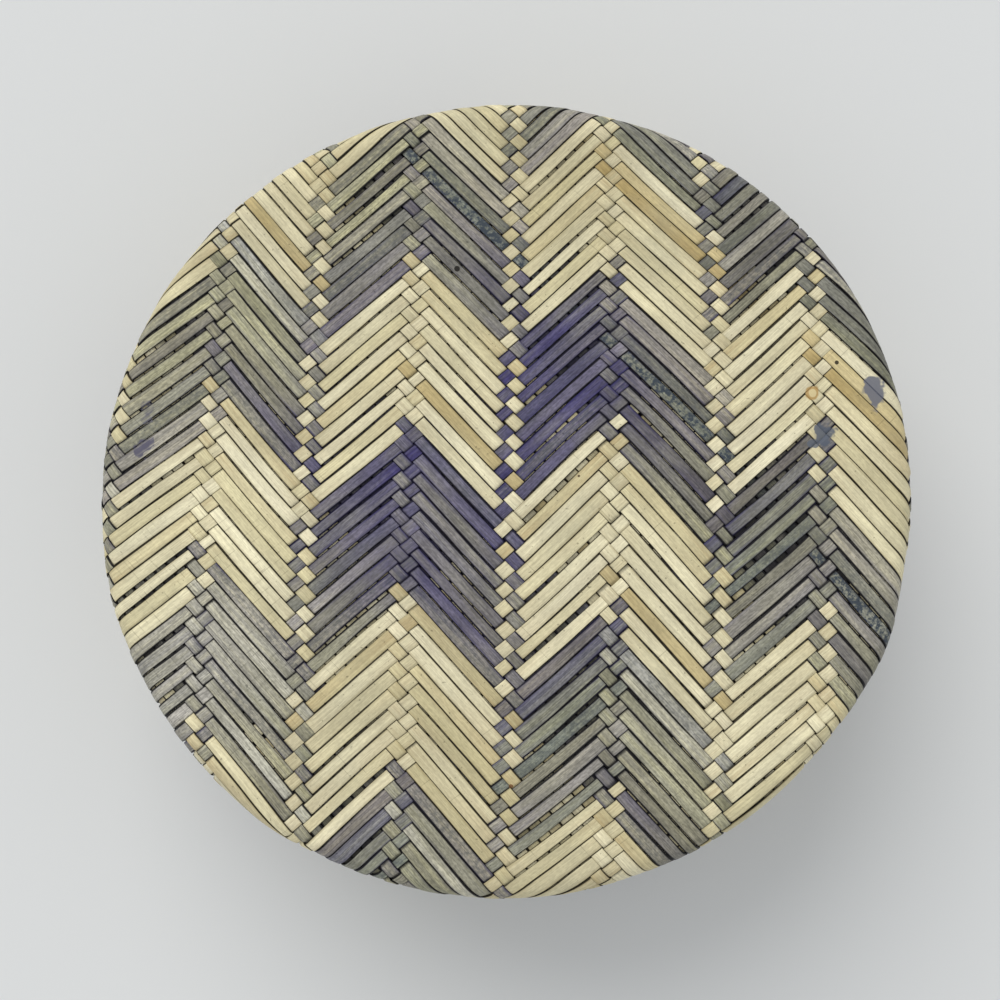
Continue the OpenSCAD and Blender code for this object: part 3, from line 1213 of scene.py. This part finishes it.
        # Painted shade along the long edges, where the gaps between splints fall dark
        loose = g.remap(g.grain(Grain.EDGE), (0.32, 0.68), self.edge_wander)
        edge = g.remap(g.math("ADD", g.off_middle, loose), self.edge_span)
        line = g.math("MULTIPLY", g.cracks(self.crack_n, (0.002, 0.008), 0.3), g.remap(blotch, (0.5, 0.64)))
        if self.creased:
            apart = g.vector("DISTANCE", {0: g.spot, 1: self.creased.place}).outputs[1]
            near = g.remap(apart, (0.5 * self.creased.reach, self.creased.reach), (1.0, 0.0))
            bent = g.math("MULTIPLY", near, g.remap(g.cloud(Cloud.CREASE), (0.46, 0.62)))
            crease = g.math("MULTIPLY", g.cracks(self.crease_n, (0.02, 0.08), 0.26), bent)
            line = g.math("MAXIMUM", line, crease)
        speck = g.remap(g.cloud(Cloud.SPECK), (0.80, 0.86), (0.0, 0.4))
        # Painted shade where the splint dips under its neighbours
        below = g.math("MULTIPLY", g.grime, g.remap(blotch, (0.35, 0.65), self.under_shade))
        # Painted shade at the edges and under crossings; cracks and specks are added next
        painted_shade = g.math("ADD", g.math("MULTIPLY", edge, self.edge_shade), below)
        return g.math("MINIMUM", g.math("ADD", painted_shade, g.math("MAXIMUM", line, speck)), self.shade_dirt_most)


@dataclass(frozen=True)
class CaneFinish:
    """Bent cane: fibres that run round the hoop, flecks of darker skin and worn patches."""

    name: str
    skin: Colour
    worn: Colour
    fleck: Colour = srgb(64, 42, 24)
    # Scale of the fibres round a hoop, and across it
    round_scale: float = 5.0
    fine_scale: float = 1500.0
    gloss: tuple[float, float] = (0.32, 0.55)
    relief: tuple[float, float] = (0.4, 0.2 * MM)

    def make(self) -> bpy.types.Material:
        """Builds the finish on Object coordinates.

        Returns:
            The material.
        """
        g = Graph(self.name)
        flat = g.flat()
        cos, sin, _ = g.split(g.vector("NORMALIZE", {0: flat}).outputs[0])
        reach = g.vector("LENGTH", {0: flat}).outputs[1]
        height = g.math("MULTIPLY", g.split(g.spot)[2], self.fine_scale)
        ring = g.combine(*(g.math("MULTIPLY", way, self.round_scale) for way in (cos, sin)), height)
        fibre = g.node(
            "ShaderNodeTexNoise",
            {"Vector": ring, "W": g.math("MULTIPLY", reach, self.fine_scale), "Scale": 1.0, "Detail": 3.0},
            noise_dimensions="4D",
        ).outputs[0]
        wear = g.cloud(Cloud.HOOP_WEAR)
        colour = g.mix(g.remap(wear, (0.42, 0.66), (0.0, 0.75)), self.skin, self.worn)
        colour = g.tone(colour, g.remap(fibre, NOISE, (0.72, 1.18)))
        colour = g.mix(g.remap(g.cloud(Cloud.HOOP_FLECK), (0.66, 0.76), (0.0, 0.55)), colour, self.fleck)
        g.surface(colour, g.remap(wear, NOISE, self.gloss), fibre, self.relief)
        return g.material


@dataclass(frozen=True)
class LashingFinish:
    """Split cane skin of the lashing: smooth, with fine fibres along each strand."""

    name: str
    skin: Colour
    worn: Colour
    # Scale of the fibres along a strand, and across it
    fibre_scale: tuple[float, float] = (60.0, 2600.0)
    gloss: tuple[float, float] = (0.34, 0.52)
    relief: tuple[float, float] = (0.35, 0.12 * MM)

    def make(self) -> bpy.types.Material:
        """Builds the finish on the loops' own run.

        Returns:
            The material.
        """
        g = Graph(self.name)
        stretched = (g.math("MULTIPLY", way, size) for way, size in zip(g.run(), self.fibre_scale))
        fibre = g.noise(g.combine(*stretched, 0.0), 1.0, 2.0)
        wear = g.cloud(Cloud.STRAND_WEAR)
        colour = g.mix(g.remap(wear, (0.4, 0.65)), self.skin, self.worn)
        colour = g.tone(colour, g.remap(fibre, NOISE, (0.78, 1.15)))
        g.surface(colour, g.remap(wear, NOISE, self.gloss), fibre, self.relief)
        return g.material


@dataclass(frozen=True)
class SheetFinish:
    """Dark back of the inner mat, painted shade that shows only through the gaps of the weave."""

    name: str
    # Colours of the painted shade, darker and paler
    dark: Colour
    paler_shade: Colour
    shine: float = 0.1
    gloss: tuple[float, float] = (0.75, 0.95)
    relief: tuple[float, float] = (0.3, 0.2 * MM)

    def make(self) -> bpy.types.Material:
        """Builds the finish on Object coordinates.

        Returns:
            The material.
        """
        g = Graph(self.name)
        grain = g.cloud(Cloud.BACK_GRAIN)
        colour = g.mix(g.remap(grain, NOISE), self.dark, self.paler_shade)
        g.put(g.shader.inputs["Specular IOR Level"], self.shine)
        g.surface(colour, g.remap(grain, NOISE, self.gloss), grain, self.relief)
        return g.material


# Palettes


def blend(first: Colour | np.ndarray, second: Colour, share: float | np.ndarray) -> np.ndarray:
    """A colour, or one for each point, a share of the way from a first to a second."""
    return np.asarray(first) + (np.asarray(second) - first) * share


class TopPalette(Palette):
    """The lid's splints: groups of natural and dyed ones, the dye strongest near the middle."""

    group_n = 9
    straw = srgb(206, 198, 160)
    pale = srgb(227, 221, 192)
    tan = srgb(198, 180, 132)
    olive = srgb(155, 153, 120)
    mauve = srgb(147, 138, 140)
    slate = srgb(110, 114, 117)
    plum = srgb(80, 76, 112)
    silver = srgb(182, 179, 168)
    # Least stain or dye that a splint holds, and the most that chance adds
    soak_least = 0.1
    stain_most = 0.3
    dye_most = 0.5
    # Natural splints: spread of brightness, and the draws past which they turn tan or hold more stain
    natural_spread = 0.06
    tan_from = 0.72
    stain_from = 0.6
    # Dyed splints: spread of brightness, least olive and its spread, and the most mauve and slate mottling
    dyed_spread = 0.19
    olive_least = 0.35
    olive_spread = 0.8
    mauve_most = 0.6
    mottle_most = 0.45
    falling_dye = 0.7
    # Dye is deepest round the lid's middle: place, where it starts to fade and where it has faded, how plum
    # it makes a splint, and how much of it is left further out
    middle = np.array([-8.0, 16.0]) * MM
    dyed_reach = (30 * MM, 88 * MM)
    plum_most = 0.84
    dye_left = 0.25
    # Dyed splints are lighter towards the left and darker towards the right: change of their tint per metre
    faded = -1.75
    # Dyed splints turn silver in patches: place, reach and strength of each; the strongest, at the lower
    # left, is a painted sheen
    bleached = (
        (-98 * MM, -48 * MM, 46 * MM, 0.85),
        (112 * MM, -34 * MM, 40 * MM, 0.3),
        (52 * MM, -70 * MM, 34 * MM, 0.3),
    )
    # Natural splints have yellowed in patches and paled in others: place, reach and strength of each
    yellowed = (
        (10 * MM, 98 * MM, 50 * MM, 1.0),
        (-68 * MM, 88 * MM, 50 * MM, 0.6),
        (-5 * MM, -90 * MM, 95 * MM, 1.0),
        (-92 * MM, -6 * MM, 50 * MM, -0.4),
        (81 * MM, -74 * MM, 50 * MM, -0.4),
    )
    yellow = np.array([0.79, 0.775, 0.73])
    # Splints that differ plainly from their group
    odd = {
        (Run.FALLING, -17): StripLook(srgb(204, 189, 143), 0.1),
        (Run.FALLING, -16): StripLook(srgb(180, 161, 111), 0.15),
        (Run.FALLING, -6): StripLook(srgb(126, 130, 118), 0.1, 1.2, 0.3),
        (Run.FALLING, -3): StripLook(srgb(102, 98, 100), 0.3, 0.1, 0.5),
        (Run.FALLING, 6): StripLook(srgb(186, 170, 124), 0.1),
        (Run.FALLING, 9): StripLook(srgb(162, 161, 152), 0.15, 0.3, 1.0),
        (Run.FALLING, 10): StripLook(srgb(172, 169, 150), 0.2, 0.0, 1.0),
        (Run.FALLING, 16): StripLook(srgb(116, 112, 116), 0.3, 0.1, 1.0),
        (Run.FALLING, 29): StripLook(srgb(176, 173, 158), 0.1),
        (Run.FALLING, 34): StripLook(srgb(174, 172, 158), 0.1),
        (Run.RISING, 1): StripLook(srgb(100, 101, 105), 0.5, 0.0, 1.5),
        (Run.RISING, 2): StripLook(srgb(128, 127, 114), 0.3, 0.0, 0.9),
        (Run.RISING, 6): StripLook(srgb(114, 111, 107), 0.35, 0.0, 1.15),
        (Run.RISING, 18): StripLook(srgb(122, 117, 112), 0.45, 0.0, 0.4),
        (Run.RISING, 19): StripLook(srgb(118, 117, 121), 0.7, 0.1, 0.5),
        (Run.RISING, 20): StripLook(srgb(132, 132, 120), 0.55, 0.0, 0.5),
        (Run.RISING, 21): StripLook(srgb(138, 140, 122), 0.6, 0.0, 0.5),
        (Run.RISING, 22): StripLook(srgb(128, 132, 120), 0.1, 0.5),
    }

    def shade(self, run: Run, number: int) -> Shade:
        """Natural or dyed, in groups that alternate."""
        dyed_turn = 0 if run is Run.RISING else 1
        return Shade.DYED if (number // self.group_n) % 2 == dyed_turn else Shade.NATURAL

    def look(self, run: Run, number: int, rng: np.random.Generator) -> StripLook:
        """Draws the look of one of the lid's splints."""
        pale, warm, bright, worn = rng.uniform(), rng.uniform(), rng.normal(), rng.uniform()
        if (run, number) in self.odd:
            return self.odd[(run, number)]
        if self.shade(run, number) is Shade.NATURAL:
            tint = blend(blend(self.straw, self.pale, pale), self.tan, max(0.0, warm - self.tan_from))
            soak = self.soak_least + self.stain_most * max(0.0, warm - self.stain_from)
            return StripLook(tuple(tint * math.exp(self.natural_spread * bright)), soak)
        tint = blend(self.slate, self.olive, min(1.0, self.olive_least + self.olive_spread * pale))
        tint = blend(tint, self.mauve, self.mauve_most * warm) * math.exp(self.dyed_spread * bright)
        soak = self.soak_least + self.dye_most * warm * worn
        dye = 1.0 if run is Run.RISING else self.falling_dye
        return StripLook(tuple(tint), soak, self.mottle_most * worn**4, dye)

    @staticmethod
    def near(points: np.ndarray, x: float, y: float, reach: float) -> np.ndarray:
        """How near points are to a place, seen from above: 1 there, 0 past the reach."""
        return 1.0 - ease(np.hypot(points[:, 0] - x, points[:, 1] - y) / reach)

    def fade(self, look: StripLook, shade: Shade, points: np.ndarray) -> tuple[np.ndarray, np.ndarray]:
        """Yellows natural splints in patches; deepens dyed ones near the middle and bleaches the rest,
        lightens them to the left and darkens them to the right, and turns them silver in patches, the
        lower-left patch as a painted sheen.
        """
        tints, soak = super().fade(look, shade, points)
        if shade is Shade.NATURAL:
            for *place, strength in self.yellowed:
                aged = strength * self.near(points, *place)[:, None]
                tints = tints * (1.0 + (self.yellow - 1.0) * aged)
            return tints, soak
        start, end = self.dyed_reach
        apart = np.linalg.norm(points[:, :2] - self.middle, axis=1)
        deep = 1.0 - ease((apart - start) / (end - start))
        tints = tints * (1.0 + self.faded * points[:, :1])
        tints = blend(tints, self.plum, np.clip(self.plum_most * look.dye * deep, 0, 1)[:, None])
        # Silver patches, the lower-left one a painted sheen
        for *place, strength in self.bleached:
            tints = blend(tints, self.silver, strength * self.near(points, *place)[:, None])
        return tints, soak * (self.dye_left + (1.0 - self.dye_left) * deep)


class WallPalette(TopPalette):
    """The base wall's splints: the lid's colours in groups of ten, evenly faded."""

    group_n = 10
    odd: dict = {}
    plum_most = 0.2
    dye_left = 0.6

    def fade(self, look: StripLook, shade: Shade, points: np.ndarray) -> tuple[np.ndarray, np.ndarray]:
        """Leaves each splint one even colour, part dyed."""
        tints, soak = Palette.fade(self, look, shade, points)
        return blend(tints, self.plum, self.plum_most * look.dye), soak * self.dye_left


class MatPalette(Palette):
    """Coarser undyed splints of the floor and the linings."""

    straw = srgb(205, 186, 136)
    tan = srgb(176, 146, 94)
    spread = 0.06
    soak_least = 0.12
    soak_most = 0.25

    def look(self, run: Run, number: int, rng: np.random.Generator) -> StripLook:
        """Draws the look of one of the coarser splints."""
        warm, bright = rng.uniform(), rng.normal(1.0, self.spread)
        tint = blend(self.straw, self.tan, warm**2)
        return StripLook(tuple(tint * bright), self.soak_least + self.soak_most * warm)


# Sub-assemblies


@dataclass
class Plait:
    """One plaited sheet: its surface, weave, splints and colours."""

    surface: Surface
    weave: Weave
    cuts: dict[Shade, SplintCut]
    palette: Palette
    rising: range
    falling: range
    # Crossings searched for a splint's ends, on both sides of the middle
    span: int
    seed: int
    partings: tuple[Parting, ...] = ()

    def make(self, run: Run, shade: Shade, name: str) -> bpy.types.Object:
        """Plaits the splints of one direction and shade.

        Args:
            run: Direction.
            shade: Natural or dyed.
            name: Name of the piece.

        Returns:
            The new piece.
        """
        numbers = self.rising if run is Run.RISING else self.falling
        place = list(Run).index(run)
        seams = Seams(numbers, self.partings, np.random.default_rng([self.seed, place]))
        rng = np.random.default_rng([self.seed, place, list(Shade).index(shade)])
        ribbons = RibbonMesh()
        for number in numbers:
            if self.palette.shade(run, number) is shade:
                ribbons.add(self, run, number, self.cuts[shade], seams, rng)
        return ribbons.build(name)

    def dress(
        self, name: str, body: Body, finishes: dict[Shade, bpy.types.Material], *nodes: str,
        slot: Slot | None = None,
    ) -> None:
        """Plaits, dresses and seats the sets of both directions.

        Args:
            name: Name of each piece, with {run} and {shade} where the pieces differ.
            body: Body that carries them.
            finishes: Finish of each shade in the sheet.
            *nodes: CAD nodes that each piece stands for, written like the name.
            slot: Material slot, or None for each shade's own.
        """
        for run in Run:
            for shade, finish in finishes.items():
                words = {"run": run.value, "shade": shade.value}
                piece = self.make(run, shade, name.format(**words))
                stands_for = (node.format(**words) for node in nodes)
                seat(piece, body, slot or Slot[shade.name], finish, *stands_for)


FINE_CUT = SplintCut(
    thick=0.5 * MM, rise=0.28 * MM, rising_gaps=(0.03, 0.30), falling_gaps=(0.015, 0.09),
    bow=0.15, tilt=0.07 * MM, spring=0.42 * MM,
)
DYED_CUT = replace(FINE_CUT, rising_gaps=(0.04, 0.25), falling_gaps=(0.02, 0.08), crowding=1.8)
FINE_CUTS = {Shade.NATURAL: FINE_CUT, Shade.DYED: DYED_CUT}
FINE_THICK = 1.06 * MM
COARSE_CUT = SplintCut(
    thick=0.5 * MM, rise=0.27 * MM, rising_gaps=(0.06, 0.16), falling_gaps=(0.06, 0.16),
    crowding=1.0, stray=0.03, steps=(0.0, 0.36, 0.64),
)
FLOOR_CUT = SplintCut(
    thick=0.7 * MM, rise=0.38 * MM, rising_gaps=(0.07, 0.15), falling_gaps=(0.07, 0.15),
    crowding=1.0, stray=0.03,
)
CREASED = Creasing((-92 * MM, -42 * MM, 94 * MM), 52 * MM)
NATURAL = SplintFinish("natural_splint_aged", srgb(176, 144, 90), marks=LID_MARKS, creased=CREASED)
# Dyed splints: their dark colours and edge and under strengths set the painted shade in the gaps
DYED = SplintFinish(
    "dyed_splint_faded", srgb(56, 50, 98), sun=(1.34, 1.32, 1.16), sun_hold=0.6,
    rim=srgb(44, 40, 92), rim_hold=0.55, rim_least=0.35, shade_dirt_colour=srgb(11, 10, 15), ink=srgb(10, 7, 38),
    drift=srgb(148, 146, 124), drift_hold=0.4, fibre_tone=0.22, fleck_tone=0.2, blotch_tone=0.12,
    edge_span=(0.39, 0.47), edge_wander=(-0.055, 0.075), edge_shade=0.98, under_shade=(0.95, 0.6),
    marks=LID_MARKS, creased=CREASED,
)
WALL_NATURAL = replace(NATURAL, name="wall_natural_splint", marks=(), creased=None)
WALL_DYED = replace(DYED, name="wall_dyed_splint", marks=(), creased=None)
MAT_SPLINT = SplintFinish("coarse_mat_splint", srgb(140, 104, 58), fibre_tone=0.14, gloss=(0.5, 0.75))
# Near-black painted shade for the gaps of the linings
SHADE_BACKING = SheetFinish("mat_back_painted_shade", srgb(10, 8, 8), srgb(20, 16, 14))
CANE = CaneFinish("hoop_cane", srgb(150, 112, 62), srgb(196, 164, 108))
LASHING = LashingFinish("lashing_strand", srgb(190, 158, 100), srgb(214, 192, 142))


@dataclass
class LidWeave:
    """The lid's outer weave: zigzag top, shoulder and skirt."""

    radius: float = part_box("lid_skirt_weave")[1].x
    top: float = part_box("lid_rising_natural_splints")[1].z
    rim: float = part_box("lid_skirt_weave")[0].z
    shoulder: float = 6.0 * MM
    numbers: range = range(-62, 78)
    span: int = 90
    seed: int = 11
    partings: tuple[Parting, ...] = (
        Parting(Run.RISING, 18, -6.5, 3.0, 0.24),
        Parting(Run.RISING, 17, -7.0, 3.0, 0.12),
        Parting(Run.RISING, 6, -1.0, 3.0, 0.14),
        Parting(Run.FALLING, -4, 10.0, 2.5, 0.16),
        Parting(Run.FALLING, 32, 8.6, 1.9, 0.16),
    )

    def build(self) -> None:
        """Plaits the four sets of splints over the cap and dresses them."""
        cap = LidCap(self.radius, self.shoulder, self.top, self.rim, FINE_THICK)
        plait = Plait(
            cap, ZigzagTwill(), FINE_CUTS, TopPalette(), self.numbers, self.numbers,
            self.span, self.seed, self.partings,
        )
        finishes = {Shade.NATURAL: NATURAL.make(), Shade.DYED: DYED.make()}
        nodes = ("lid_{run}_{shade}_splints", "lid_skirt_weave")
        plait.dress("lid_plait_{run}_{shade}", Body.LID, finishes, *nodes)


@dataclass
class BaseWeave:
    """The base's plaited wall."""

    radius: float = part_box("base_wall_weave")[1].x
    top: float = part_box("base_wall_weave")[1].z
    bottom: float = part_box("base_wall_weave")[0].z
    heel_top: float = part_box("base_foot_inner_hoop")[0].z
    heel: float = 5.5 * MM
    around: int = 240
    seed: int = 23

    def build(self) -> None:
        """Plaits the wall's four sets of splints and dresses them."""
        inset = FINE_THICK / 2
        wall = BiasWall(
            self.radius - inset, self.top, self.heel_top, self.heel - inset, self.bottom, self.around
        )
        half = self.around // 2
        span = half + math.ceil((self.top - self.bottom) / wall.step) + 2
        plait = Plait(
            wall, ZigzagTwill(), FINE_CUTS, WallPalette(), range(half), range(-half, 0), span, self.seed
        )
        finishes = {Shade.NATURAL: WALL_NATURAL.make(), Shade.DYED: WALL_DYED.make()}
        plait.dress("base_plait_{run}_{shade}", Body.BASE, finishes, "base_wall_weave")


@dataclass
class Mats:
    """The coarser floor of the base and the linings of both halves."""

    pitch: float = 8.6 * MM
    numbers: range = range(-22, 23)
    span: int = 30
    wall_thick: float = 1.2 * MM

    def flat(
        self, node: str, facing: float, turned: float, cut: SplintCut, weave: Weave, seed: int
    ) -> Plait:
        """Lays out a round mat where a CAD node lies.

        Args:
            node: CAD node whose box gives the mat's size and height.
            facing: 1 where the good side is up, -1 where it is down.
            turned: Angle of the splints.
            cut: The splints' cut.
            weave: Order of overs and unders.
            seed: Seed of the splints' differences.

        Returns:
            The mat.
        """
        low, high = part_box(node)
        sheet = FlatMat(high.x, (low.z + high.z) / 2, self.pitch, facing, turned)
        cuts = {Shade.NATURAL: cut}
        return Plait(sheet, weave, cuts, MatPalette(), self.numbers, self.numbers, self.span, seed)

    def upright(self, node: str, seed: int) -> Plait:
        """Lays out a wall's lining, with stakes as rising splints and rings as falling ones.

        Args:
            node: CAD node whose box gives the lining's size.
            seed: Seed of the splints' differences.

        Returns:
            The lining.
        """
        low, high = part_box(node)
        radius = high.x - self.wall_thick / 2
        around = 2 * round(math.pi * radius / self.pitch)
        rings = round((high.z - low.z) / self.pitch)
        sheet = LiningTube(radius, low.z, high.z, around, rings)
        cuts = {Shade.NATURAL: COARSE_CUT}
        return Plait(sheet, Weave(), cuts, MatPalette(), range(around), range(rings), around + 2, seed)

    def build(self) -> None:
        """Plaits the floor and every lining and dresses them."""
        finish = {Shade.NATURAL: MAT_SPLINT.make()}
        floor = self.flat("base_floor_rising_splints", -1.0, math.pi / 4, FLOOR_CUT, FloorTwill(), 31)
        floor.dress("base_floor_plait_{run}", Body.BASE, finish, "base_floor_{run}_splints")
        square = math.pi / 2
        linings = (
            (Body.BASE, "floor", self.flat("base_floor_lining", 1.0, square, COARSE_CUT, Weave(), 37)),
            (Body.LID, "top", self.flat("lid_top_lining", -1.0, square, COARSE_CUT, Weave(), 41)),
            (Body.BASE, "wall", self.upright("base_wall_lining", 43)),
            (Body.LID, "wall", self.upright("lid_wall_lining", 47)),
        )
        for body, part, plait in linings:
            start = f"{body.value}_{part}"
            plait.dress(start + "_mat_{run}", body, finish, f"{start}_lining", slot=Slot.LINING)


@dataclass
class Backing:
    """Thin dark backs of the linings, which close the gaps of the weave with painted shade."""

    thick: float = 0.05 * MM
    sides: int = 128

    def sweep(self, name: str, radius: float, start: float, rise: float, fill: str) -> bpy.types.Object:
        """Draws a circle upright into a drum or an open sleeve.

        Args:
            name: Name of the piece.
            radius: Its radius.
            start: Height of the circle.
            rise: How far the circle is drawn up, negative for down.
            fill: Fill of the circle.

        Returns:
            The new piece, with its faces turned outwards.
        """
        bpy.ops.object.select_all(action="DESELECT")
        bpy.ops.mesh.primitive_circle_add(
            vertices=self.sides, radius=radius, fill_type=fill, location=(0, 0, 0)
        )
        piece = bpy.context.active_object
        piece.name = name
        bpy.ops.object.mode_set(mode="EDIT")
        bpy.ops.mesh.select_all(action="SELECT")
        bpy.ops.transform.translate(value=(0, 0, start))
        bpy.ops.mesh.extrude_region_move(TRANSFORM_OT_translate={"value": (0, 0, rise)})
        bpy.ops.object.mode_set(mode="OBJECT")
        finish_mesh(piece)
        return piece

    def disc(self, name: str, radius: float, height: float) -> bpy.types.Object:
        """Makes a thin round sheet with its upper face at a height."""
        return self.sweep(name, radius, height, -self.thick, "NGON")

    def sleeve(self, name: str, radius: float, low: float, high: float) -> bpy.types.Object:
        """Makes a thin upright sleeve.

        Args:
            name: Name of the piece.
            radius: Its outer radius.
            low: Its lower edge.
            high: Its upper edge.

        Returns:
            The new piece.
        """
        piece = self.sweep(name, radius, low, high - low, "NOTHING")
        wall = piece.modifiers.new("wall", "SOLIDIFY")
        wall.thickness = self.thick
        wall.offset = -1.0
        bpy.ops.object.modifier_apply(modifier="wall")
        finish_mesh(piece)
        return piece

    def build(self) -> None:
        """Makes the backs of the lid's top and of both walls."""
        finish = SHADE_BACKING.make()
        _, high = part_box("lid_top_lining")
        top = self.disc("lid_top_mat_back", high.x, high.z)
        seat(top, Body.LID, Slot.LINING, finish, "lid_top_lining")
        for body in Body:
            node = f"{body.value}_wall_lining"
            low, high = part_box(node)
            sleeve = self.sleeve(f"{body.value}_wall_mat_back", high.x, low.z, high.z)
            seat(sleeve, body, Slot.LINING, finish, node)


@dataclass
class Hoops:
    """The bent cane hoops, which keep their CAD shape."""

    nodes: tuple[str, ...] = (
        "lid_shoulder_hoop", "lid_rim_outer_hoop", "lid_rim_inner_hoop", "base_rim_outer_hoop",
        "base_rim_inner_hoop", "base_foot_outer_hoop", "base_foot_inner_hoop",
    )

    def build(self) -> None:
        """Dresses every hoop in cane."""
        finish = CANE.make()
        for node in self.nodes:
            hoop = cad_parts[node]
            hoop.data.materials.clear()
            hoop.data.materials.append(finish)
            LOG.info("%s: cane", node)


@dataclass
class LashingRow:
    """A ring of lashing loops that bind two hoops to the wall between them."""

    body: Body
    part: str
    # Radius of the loops' inner faces
    inner: float
    count: int = 40
    width: float = 3.0 * MM
    thick: float = 0.6 * MM
    slant: float = 1.6 * MM
    # The torus that a loop starts from: points round it and round its tube, and the tube's radius
    around: int = 32
    sides: int = 8
    tube: float = 0.1
    # Squareness of a loop's corners: 1 is round, 0 is square
    corner: float = 0.45
    # Shift of the fibres from one loop to the next
    shift: float = 0.37

    @property
    def node(self) -> str:
        """CAD node that the row stands for."""
        return f"{self.body.value}_{self.part}_lashing"

    def build(self, finish: bpy.types.Material) -> None:
        """Shapes one loop from a torus, copies it round the rim and dresses the row.

        Args:
            finish: Lashing finish.
        """
        bpy.ops.object.select_all(action="DESELECT")
        bpy.ops.mesh.primitive_torus_add(
            major_radius=1.0, minor_radius=self.tube, major_segments=self.around, minor_segments=self.sides,
            location=(0, 0, 0),
        )
        piece = bpy.context.active_object
        piece.name = f"{self.body.value}_{self.part}_strands"
        loop = np.empty(len(piece.data.vertices) * 3)
        piece.data.vertices.foreach_get("co", loop)
        shaped, run = self.shape(loop.reshape(-1, 3))
        faces = [list(face.vertices) for face in piece.data.polygons]
        points, joined, runs = [], [], []
        for index in range(self.count):
            turn = (index + 0.5) * 2 * math.pi / self.count
            cos, sin = math.cos(turn), math.sin(turn)
            points.append(shaped @ np.array([[cos, sin, 0], [-sin, cos, 0], [0, 0, 1]]))
            joined.extend([vertex + index * len(shaped) for vertex in face] for face in faces)
            runs.append(run + [index * self.shift, 0])
        mesh = bpy.data.meshes.new(piece.name)
        mesh.from_pydata(np.concatenate(points).tolist(), [], joined)
        lay_run(mesh, np.concatenate(runs))
        old, piece.data = piece.data, mesh
        bpy.data.meshes.remove(old)
        finish_mesh(piece)
        seat(piece, self.body, Slot.LASHING, finish, self.node)

    def shape(self, ring: np.ndarray) -> tuple[np.ndarray, np.ndarray]:
        """Turns a torus into a flat strand round a rim, standing at the X axis.

        Args:
            ring: Points of a torus of radius 1, lying flat.

        Returns:
            The loop's points, and its run: metres along and across the strand.
        """
        low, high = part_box(self.node)
        angle = np.arctan2(ring[:, 1], ring[:, 0])
        half_r, half_z = (high.x - self.inner - self.thick) / 2, (high.z - low.z - self.thick) / 2
        x, z = (np.sign(way) * np.abs(way) ** self.corner for way in (np.cos(angle), np.sin(angle)))
        out = (np.hypot(ring[:, 0], ring[:, 1]) - 1.0) / self.tube * self.thick / 2
        radial = (high.x + self.inner) / 2 + (half_r + out) * x
        height = (high.z + low.z) / 2 + (half_z + out) * z
        across = ring[:, 2] / self.tube * self.width / 2
        lean = self.slant / 2 * z * np.clip(x, 0, 1)
        points = np.column_stack([radial, across + lean, height])
        return points, np.column_stack([angle * (half_r + half_z) / 2, across])


LASHING_ROWS = (
    LashingRow(Body.LID, "rim", 119.98 * MM),
    LashingRow(Body.BASE, "rim", 110.92 * MM),
    LashingRow(Body.BASE, "foot", 110.92 * MM),
)


class Studio:
    """Pale floor, soft light from the upper left, and a camera straight above the lid."""

    floor_size = 200.0
    paper = srgb(219, 221, 222)
    paper_rough = 0.8
    sky = (0.97, 0.985, 1.0)
    sky_strength = 0.67
    # The key light: where it comes from, how wide it looks, how strong it is, and its colour
    key_from = Vector((-0.96, 2.24, 2.1))
    key_angle = math.radians(48)
    key_strength = 1.64
    key_colour = (1.0, 0.98, 0.94)
    # The camera: height above the lid, width of its view at the lid, sensor, and nearest thing seen
    distance = 0.6
    frame_width = 313.6 * MM
    sensor_width = 36.0
    nearest = 0.01
    # The photograph's middle, seen from the lid's middle
    aim = Vector((-2.03 * MM, 0.47 * MM))

    def floor(self) -> None:
        """Lays the pale floor."""
        bpy.ops.object.select_all(action="DESELECT")
        bpy.ops.mesh.primitive_plane_add(size=self.floor_size, location=(0, 0, 0))
        floor = bpy.context.active_object
        floor.name = "studio_floor"
        g = Graph("studio_pale_paper")
        g.put(g.shader.inputs["Base Color"], self.paper)
        g.put(g.shader.inputs["Roughness"], self.paper_rough)
        floor.data.materials.append(g.material)

    def lights(self) -> None:
        """Sets a broad soft key light and an even sky."""
        world = bpy.data.worlds.new("studio_sky")
        world.use_nodes = True
        sky = world.node_tree.nodes["Background"]
        sky.inputs["Color"].default_value = (*self.sky, 1.0)
        sky.inputs["Strength"].default_value = self.sky_strength
        bpy.context.scene.world = world
        data = bpy.data.lights.new("studio_key", "SUN")
        data.angle = self.key_angle
        data.energy = self.key_strength
        data.color = self.key_colour
        key = bpy.data.objects.new("studio_key", data)
        key.location = self.key_from
        key.rotation_euler = (-self.key_from).to_track_quat("-Z", "Y").to_euler()
        bpy.context.scene.collection.objects.link(key)

    def camera(self, lid_top: float) -> None:
        """Hangs the camera above the lid.

        Args:
            lid_top: Height of the lid's top.
        """
        data = bpy.data.cameras.new("photo_camera")
        data.sensor_width = self.sensor_width
        data.lens = self.sensor_width * self.distance / self.frame_width
        data.clip_start = self.nearest
        camera = bpy.data.objects.new("photo_camera", data)
        camera.location = (self.aim.x, self.aim.y, lid_top + self.distance)
        bpy.context.scene.collection.objects.link(camera)
        bpy.context.scene.camera = camera

    def build(self, lid_top: float) -> None:
        """Sets up the floor, lights and camera.

        Args:
            lid_top: Height of the lid's top.
        """
        self.floor()
        self.lights()
        self.camera(lid_top)
        bpy.context.scene.view_settings.view_transform = "Standard"


def main() -> None:
    """Builds and dresses every piece and sets up the studio."""
    logging.basicConfig(level=logging.INFO, format="%(name)s %(message)s")
    lid = LidWeave()
    for part in (lid, BaseWeave(), Mats(), Backing(), Hoops()):
        part.build()
    lashing = LASHING.make()
    for row in LASHING_ROWS:
        row.build(lashing)
    Studio().build(lid.top)


if __name__ == "__main__":
    main()
